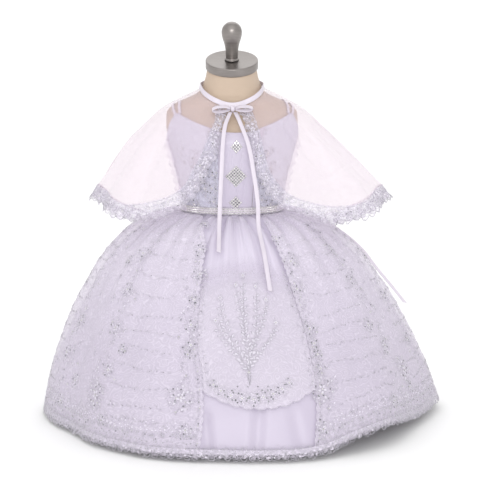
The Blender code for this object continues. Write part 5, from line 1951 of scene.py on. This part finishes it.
def make_bodice_overlay():
    """Embroidered organza over each side of the front, with a scalloped, corded and stoned inner edge."""
    edge = Table(
        ("share", "left", "right"), [(0.0, 24, 27), (0.25, 17.5, 21.0), (0.6, 18.5, 24), (1.0, 20, 27.0)],
    )
    trim = Embroidery(BODICE_OVERLAY)
    for name, side in SIDES:

        def inner(share):
            return side * (edge.read("right" if side > 0 else "left", share) - 1.5 * scallops(11 * share))

        rows = steps(0, 1, 99)[:, None]
        run = steps(0, 1, 40)[None, :]
        start = inner(rows)
        columns = start + (side * 89 - start) * run
        waves = 0.0003 * np.sin(columns * 0.9) * np.sin(rows * 25)
        points = facing_out(overlay_cloth(columns, rows, waves), side)
        overlay = cloth_piece(f"bodice_organza_{name}", points, BODICE_SHEER, "organza")
        share = steps(0.01, 0.99, 160)
        trim.cord(inner(share)[None, :], share[None, :], radius=EDGE_THREAD)
        at = steps(0.04, 0.96, 21)
        spots = spots_at(inner(at) + side * 2.0, at, 0.0036, turn=about(-side * 90, 40, len(at)))
        trim.lines(spots, PETAL_LINE, (-40, 40), 0.0, 1.0)
        trim.stones(spots[::5], size=STONE * 0.9)
        trim.beads(spots[1::2])
    trim.pieces("bodice_organza")


def stone_waist():
    """Three rows of clear stones on the waist band, with dark beads in the gaps as painted shade between
    them.
    """
    sewn = Embroidery(Cloth(waist_ribbon, (0.5, 0.02)))
    pitch = math.degrees(0.0029 / WAIST_RADIUS)
    for number, share in enumerate((0.20, 0.50, 0.80)):
        angle = np.arange(-60, 60, pitch) + pitch / 2 * (number % 2)
        sewn.stones(spots_at(angle, share, STONE), size=0.00125)
        # The dark beads paint the shade in the gaps between the stones.
        sewn.stones(spots_at(angle[::2] + pitch / 2, share + 0.02, STONE), size=0.00060, dark=True)
    for share in (0.03, 0.97):
        angle = np.arange(-88, 88, math.degrees(0.0019 / WAIST_RADIUS))
        sewn.beads(spots_at(angle, share, 0.0008), size=0.00075)
    sewn.pieces("waist_band")


# ---------------------------------------------------------------- camera, light and floor
def look():
    """The camera, slightly above the gown, with a long lens."""
    camera = bpy.data.cameras.new("camera")
    camera.lens, camera.sensor_width, camera.clip_end = 142.4, 36.0, 200.0
    seen_from = bpy.data.objects.new("camera", camera)
    seen_from.location = (0.0128, -3.0, 0.759)
    seen_from.rotation_euler = (math.radians(90 - 9.07), 0, 0)
    bpy.context.scene.collection.objects.link(seen_from)
    bpy.context.scene.camera = seen_from


# Each light's strength, softness, tilt from overhead and turn from the front.
LIGHTS = {
    "key": (0.32, 70, 40, -6),
    "front_fill": (0.90, 25, 76, 0),
    "back_fill": (0.55, 60, 60, 176),
}


def studio():
    scene = bpy.context.scene
    scene.view_settings.view_transform = "Standard"
    world = bpy.data.worlds.new("studio")
    world.use_nodes = True
    world.node_tree.nodes["Background"].inputs["Color"].default_value = (1.0, 1.0, 1.0, 1.0)
    world.node_tree.nodes["Background"].inputs["Strength"].default_value = 0.94
    scene.world = world
    for name, (energy, softness, tilt, turn) in LIGHTS.items():
        sun = bpy.data.lights.new(name, "SUN")
        sun.energy, sun.angle = energy, math.radians(softness)
        lamp = bpy.data.objects.new(name, sun)
        lamp.rotation_euler = (math.radians(tilt), 0, math.radians(turn))
        scene.collection.objects.link(lamp)
    corners = [(-60, 60, 0), (-60, -60, 0), (60, -60, 0), (60, 60, 0)]
    mesh = bpy.data.meshes.new("floor")
    mesh.from_pydata(corners, [], [(0, 1, 2, 3)])
    mesh.materials.append(studio_paper("studio_paper", (0.97, 0.97, 0.97)))
    floor = bpy.data.objects.new("floor", mesh)
    scene.collection.objects.link(floor)


look()
make_bows()
make_form()
make_bodice()
make_bodice_lace()
make_waist()
make_satin_skirt()
make_sheer_skirt()
make_apron()
make_hem_lace()
make_cape()
make_bodice_overlay()
sew_bodice()
stone_waist()
sew_skirt()
sew_apron()
sew_hem_lace()
sew_cape_lace()
studio()
